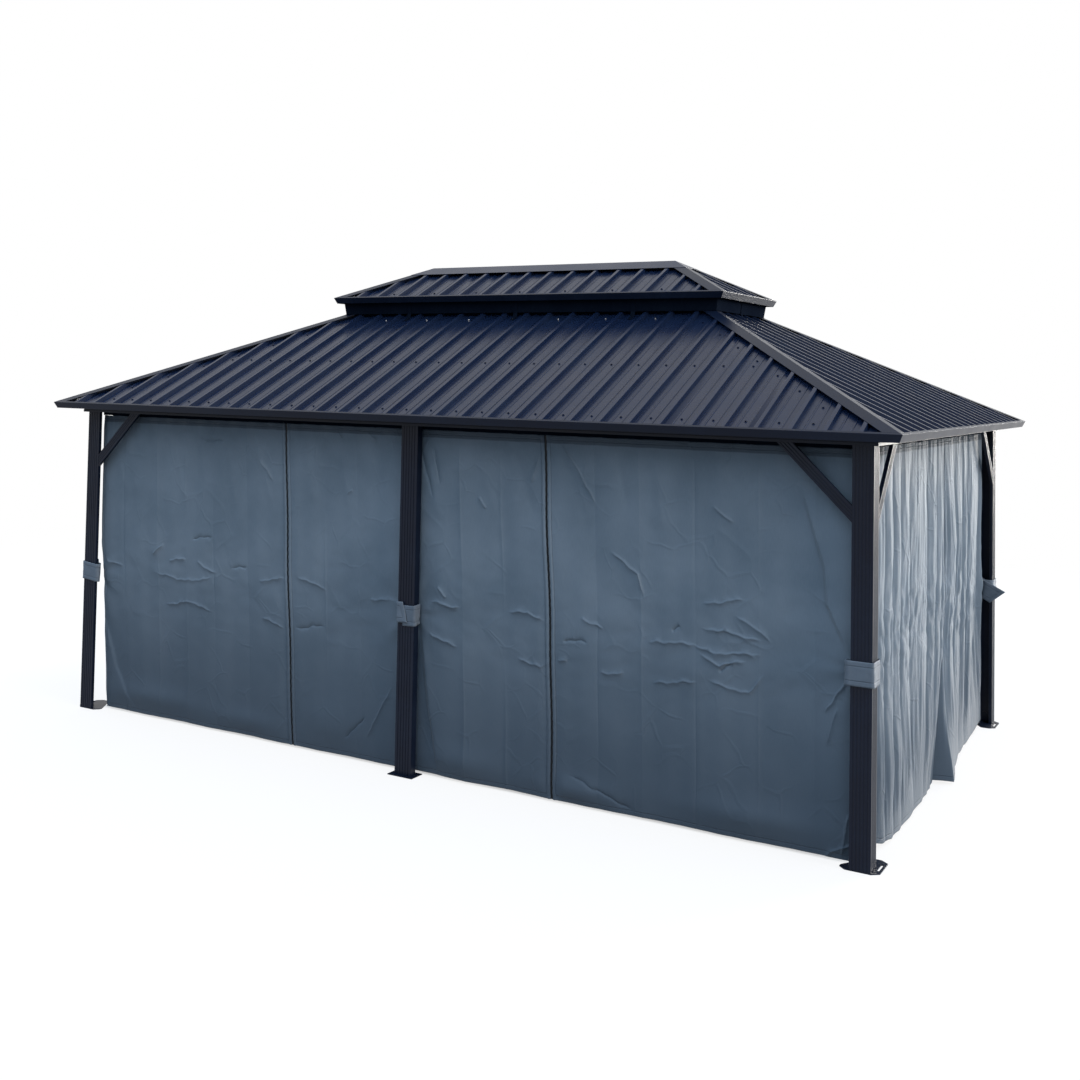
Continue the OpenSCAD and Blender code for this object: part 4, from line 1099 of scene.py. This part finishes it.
def zip_coils(name, side, x):
    """The row of coils on a zip's tape."""
    z = np.linspace(HEM_Z + COIL_INSET, CLOTH_TOP - COIL_INSET, LINE_POINTS)
    out = LONG_PLANE + zip_depth(side, x, z) - TAPE_BACK + COIL_PROUD
    line = to_frame(side, x + edge_shift(side, x, z), out, z)
    mesh = bpy.data.meshes.new(name)
    mesh.from_pydata(line.tolist(), [(i, i + 1) for i in range(len(z) - 1)], [])
    piece = new_piece(name, mesh, nylon)
    run_group(piece, COIL_TREE, COIL_IDS, {"Pitch": COIL_PITCH, "Bar Size": COIL_BAR, "Finish": nylon})
    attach(piece, "root")
    print(name, len(piece.data.polygons), "faces")


for side in LONG_SIDES:
    for number, x in enumerate(PANEL_EDGES[1:3]):
        cloth_piece(
            f"{side}_zip_tape_{number + 1}", side, (2 * TAPE_HALF, DROP), (0.02, 0.02), tape_shape(side, x),
            tape_cloth, side + "_curtains")
        zip_coils(f"{side}_zip_coils_{number + 1}", side, x)

# %% [markdown]
# ## Tie straps
# A band of doubled curtain cloth hangs round every post, ready to tie the drawn
# curtains back. Each is a ribbon along a curve in plan: round the angle of a
# corner post, or round the flat tube of a middle post with one flap over the
# other. Its height may change along the curve, so that it sits askew.

# %% Strap helpers
STRAP_WIDTH = 0.115
STRAP_THICK = 0.0022
STRAP_STEP, STRAP_ROWS = 0.006, 15
POST_X, POST_Y = 2.56, 1.65


def smooth_path(points):
    """A curve through points, as many short steps, and the distance along it."""
    p = np.array(points, dtype=float)
    p = np.vstack([2 * p[0] - p[1], p, 2 * p[-1] - p[-2]])
    t = np.linspace(0, 1, 24, endpoint=False)[:, None]
    parts = [
        0.5 * (2 * b + (c - a) * t + (2 * a - 5 * b + 4 * c - d) * t**2 + (3 * b - a - 3 * c + d) * t**3)
        for a, b, c, d in zip(p, p[1:], p[2:], p[3:])
    ]
    curve = np.vstack([*parts, p[-2:-1]])
    return curve, np.concatenate([[0], np.cumsum(np.linalg.norm(np.diff(curve, axis=0), axis=1))])


def strap(name, points, cuts, seed):
    """A band along a curve through points (x, y, z of its middle), with slanted ends."""
    curve, run = smooth_path(points)
    length = run[-1] - (abs(cuts[0]) + abs(cuts[1])) / 2

    def at(distance):
        return np.stack([np.interp(distance, run, curve[:, i]) for i in range(3)], axis=-1)

    def shape(u, v):
        t, w = u / length, v / STRAP_WIDTH - 0.5
        s = abs(cuts[0]) / 2 + u + w * (cuts[0] * (1 - t) + cuts[1] * t)
        tangent = at(s + 0.004) - at(s - 0.004)
        tangent /= np.linalg.norm(tangent, axis=-1, keepdims=True)
        up = np.array([0, 0, 1.0]) - tangent[..., 2:] * tangent
        up /= np.linalg.norm(up, axis=-1, keepdims=True)
        ripple = 0.0035 * (crumple(u, v, (0.06, 0.05), seed) - 0.3)
        soft = 0.004 * np.sin(9 * u + seed) * w
        return at(s) + up * (w * STRAP_WIDTH)[..., None] + np.cross(tangent, up) * (ripple + soft)[..., None]

    columns = round(length / STRAP_STEP) + 1
    mesh = flat_cloth(name, np.linspace(0, length, columns), np.linspace(0, STRAP_WIDTH, STRAP_ROWS))
    shape_cloth(mesh, (length, STRAP_WIDTH), shape)
    piece = new_piece(name, mesh, strap_cloth)
    thicken(piece, STRAP_THICK)
    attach(piece, "root")
    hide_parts("tie_straps")
    print(name, round(length, 3), "m long,", len(piece.data.polygons), "faces")


print("straps", STRAP_WIDTH, "m wide,", STRAP_THICK * 1000, "mm thick")

# %% Straps round the posts
# Points of a corner strap in plan: distances inwards along the long side and along the end
# from the post's outer corner. The flag is the loose end of one strap.
CORNER_LOOP = [
    (0.046, 0.080), (0.070, 0.050), (0.112, 0.034), (0.128, 0.012), (0.116, -0.006), (0.09, -0.0065),
    (0.05, -0.006), (0.012, -0.006), (-0.004, -0.0055), (-0.0075, 0.006), (-0.0075, 0.03), (-0.0075, 0.07),
    (-0.008, 0.098), (-0.002, 0.113), (0.014, 0.114), (0.04, 0.088),
]
FLAG = [
    (0.012, 0.121), (0.044, 0.124), (0.056, 0.133), (0.044, 0.143), (0.005, 0.147), (-0.03, 0.150),
    (-0.062, 0.152),
]
FLAG_DROP = 0.5
# For each corner: its signs, how askew the strap sits, its points, and the slant of its ends
CORNERS = {
    "front_right": (1, -1, 0.0, CORNER_LOOP, (0.02, 0.0)),
    "front_left": (-1, -1, 0.22, CORNER_LOOP, (0.015, 0.01)),
    "back_left": (-1, 1, -0.12, CORNER_LOOP, (0.0, 0.02)),
    "back_right": (1, 1, -0.1, CORNER_LOOP[:14] + FLAG, (0.02, 0.05)),
}


def corner_height(a, b, askew):
    """Height of a corner strap's middle: it tilts round the post, and its flag hangs down."""
    flag = max(0.056 - a, 0) if b > 0.13 else 0
    return STRAP_Z + askew * (0.05 - max(a, 0)) * 0.5 - FLAG_DROP * flag


for number, (corner, (sx, sy, askew, loop, cuts)) in enumerate(CORNERS.items()):
    path = [(sx * (POST_X - a), sy * (POST_Y - b), corner_height(a, b, askew)) for a, b in loop]
    strap(corner + "_strap", path, cuts, 3.1 + 7 * number)

# Points of a middle strap: along the side, inwards from the post's outer face, and height
FLAPS = [
    (0.014, -0.0105, 0.906), (-0.03, -0.0095, 0.905), (-0.056, -0.0065, 0.904), (-0.0615, 0.008, 0.903),
    (-0.0615, 0.038, 0.901), (-0.056, 0.0495, 0.9), (0.0, 0.0500, 0.899), (0.056, 0.0495, 0.898),
    (0.0625, 0.038, 0.896), (0.0645, 0.008, 0.893), (0.057, -0.006, 0.890), (0.03, -0.0045, 0.888),
    (-0.02, -0.0040, 0.886),
]
for number, (side, sign) in enumerate({"front": 1, "back": -1}.items()):
    path = [(sign * x, sign * (y - POST_Y), z) for x, y, z in FLAPS]
    strap(f"{side}_middle_strap", path, (0.03, 0.0), 40.3 + 5 * number)
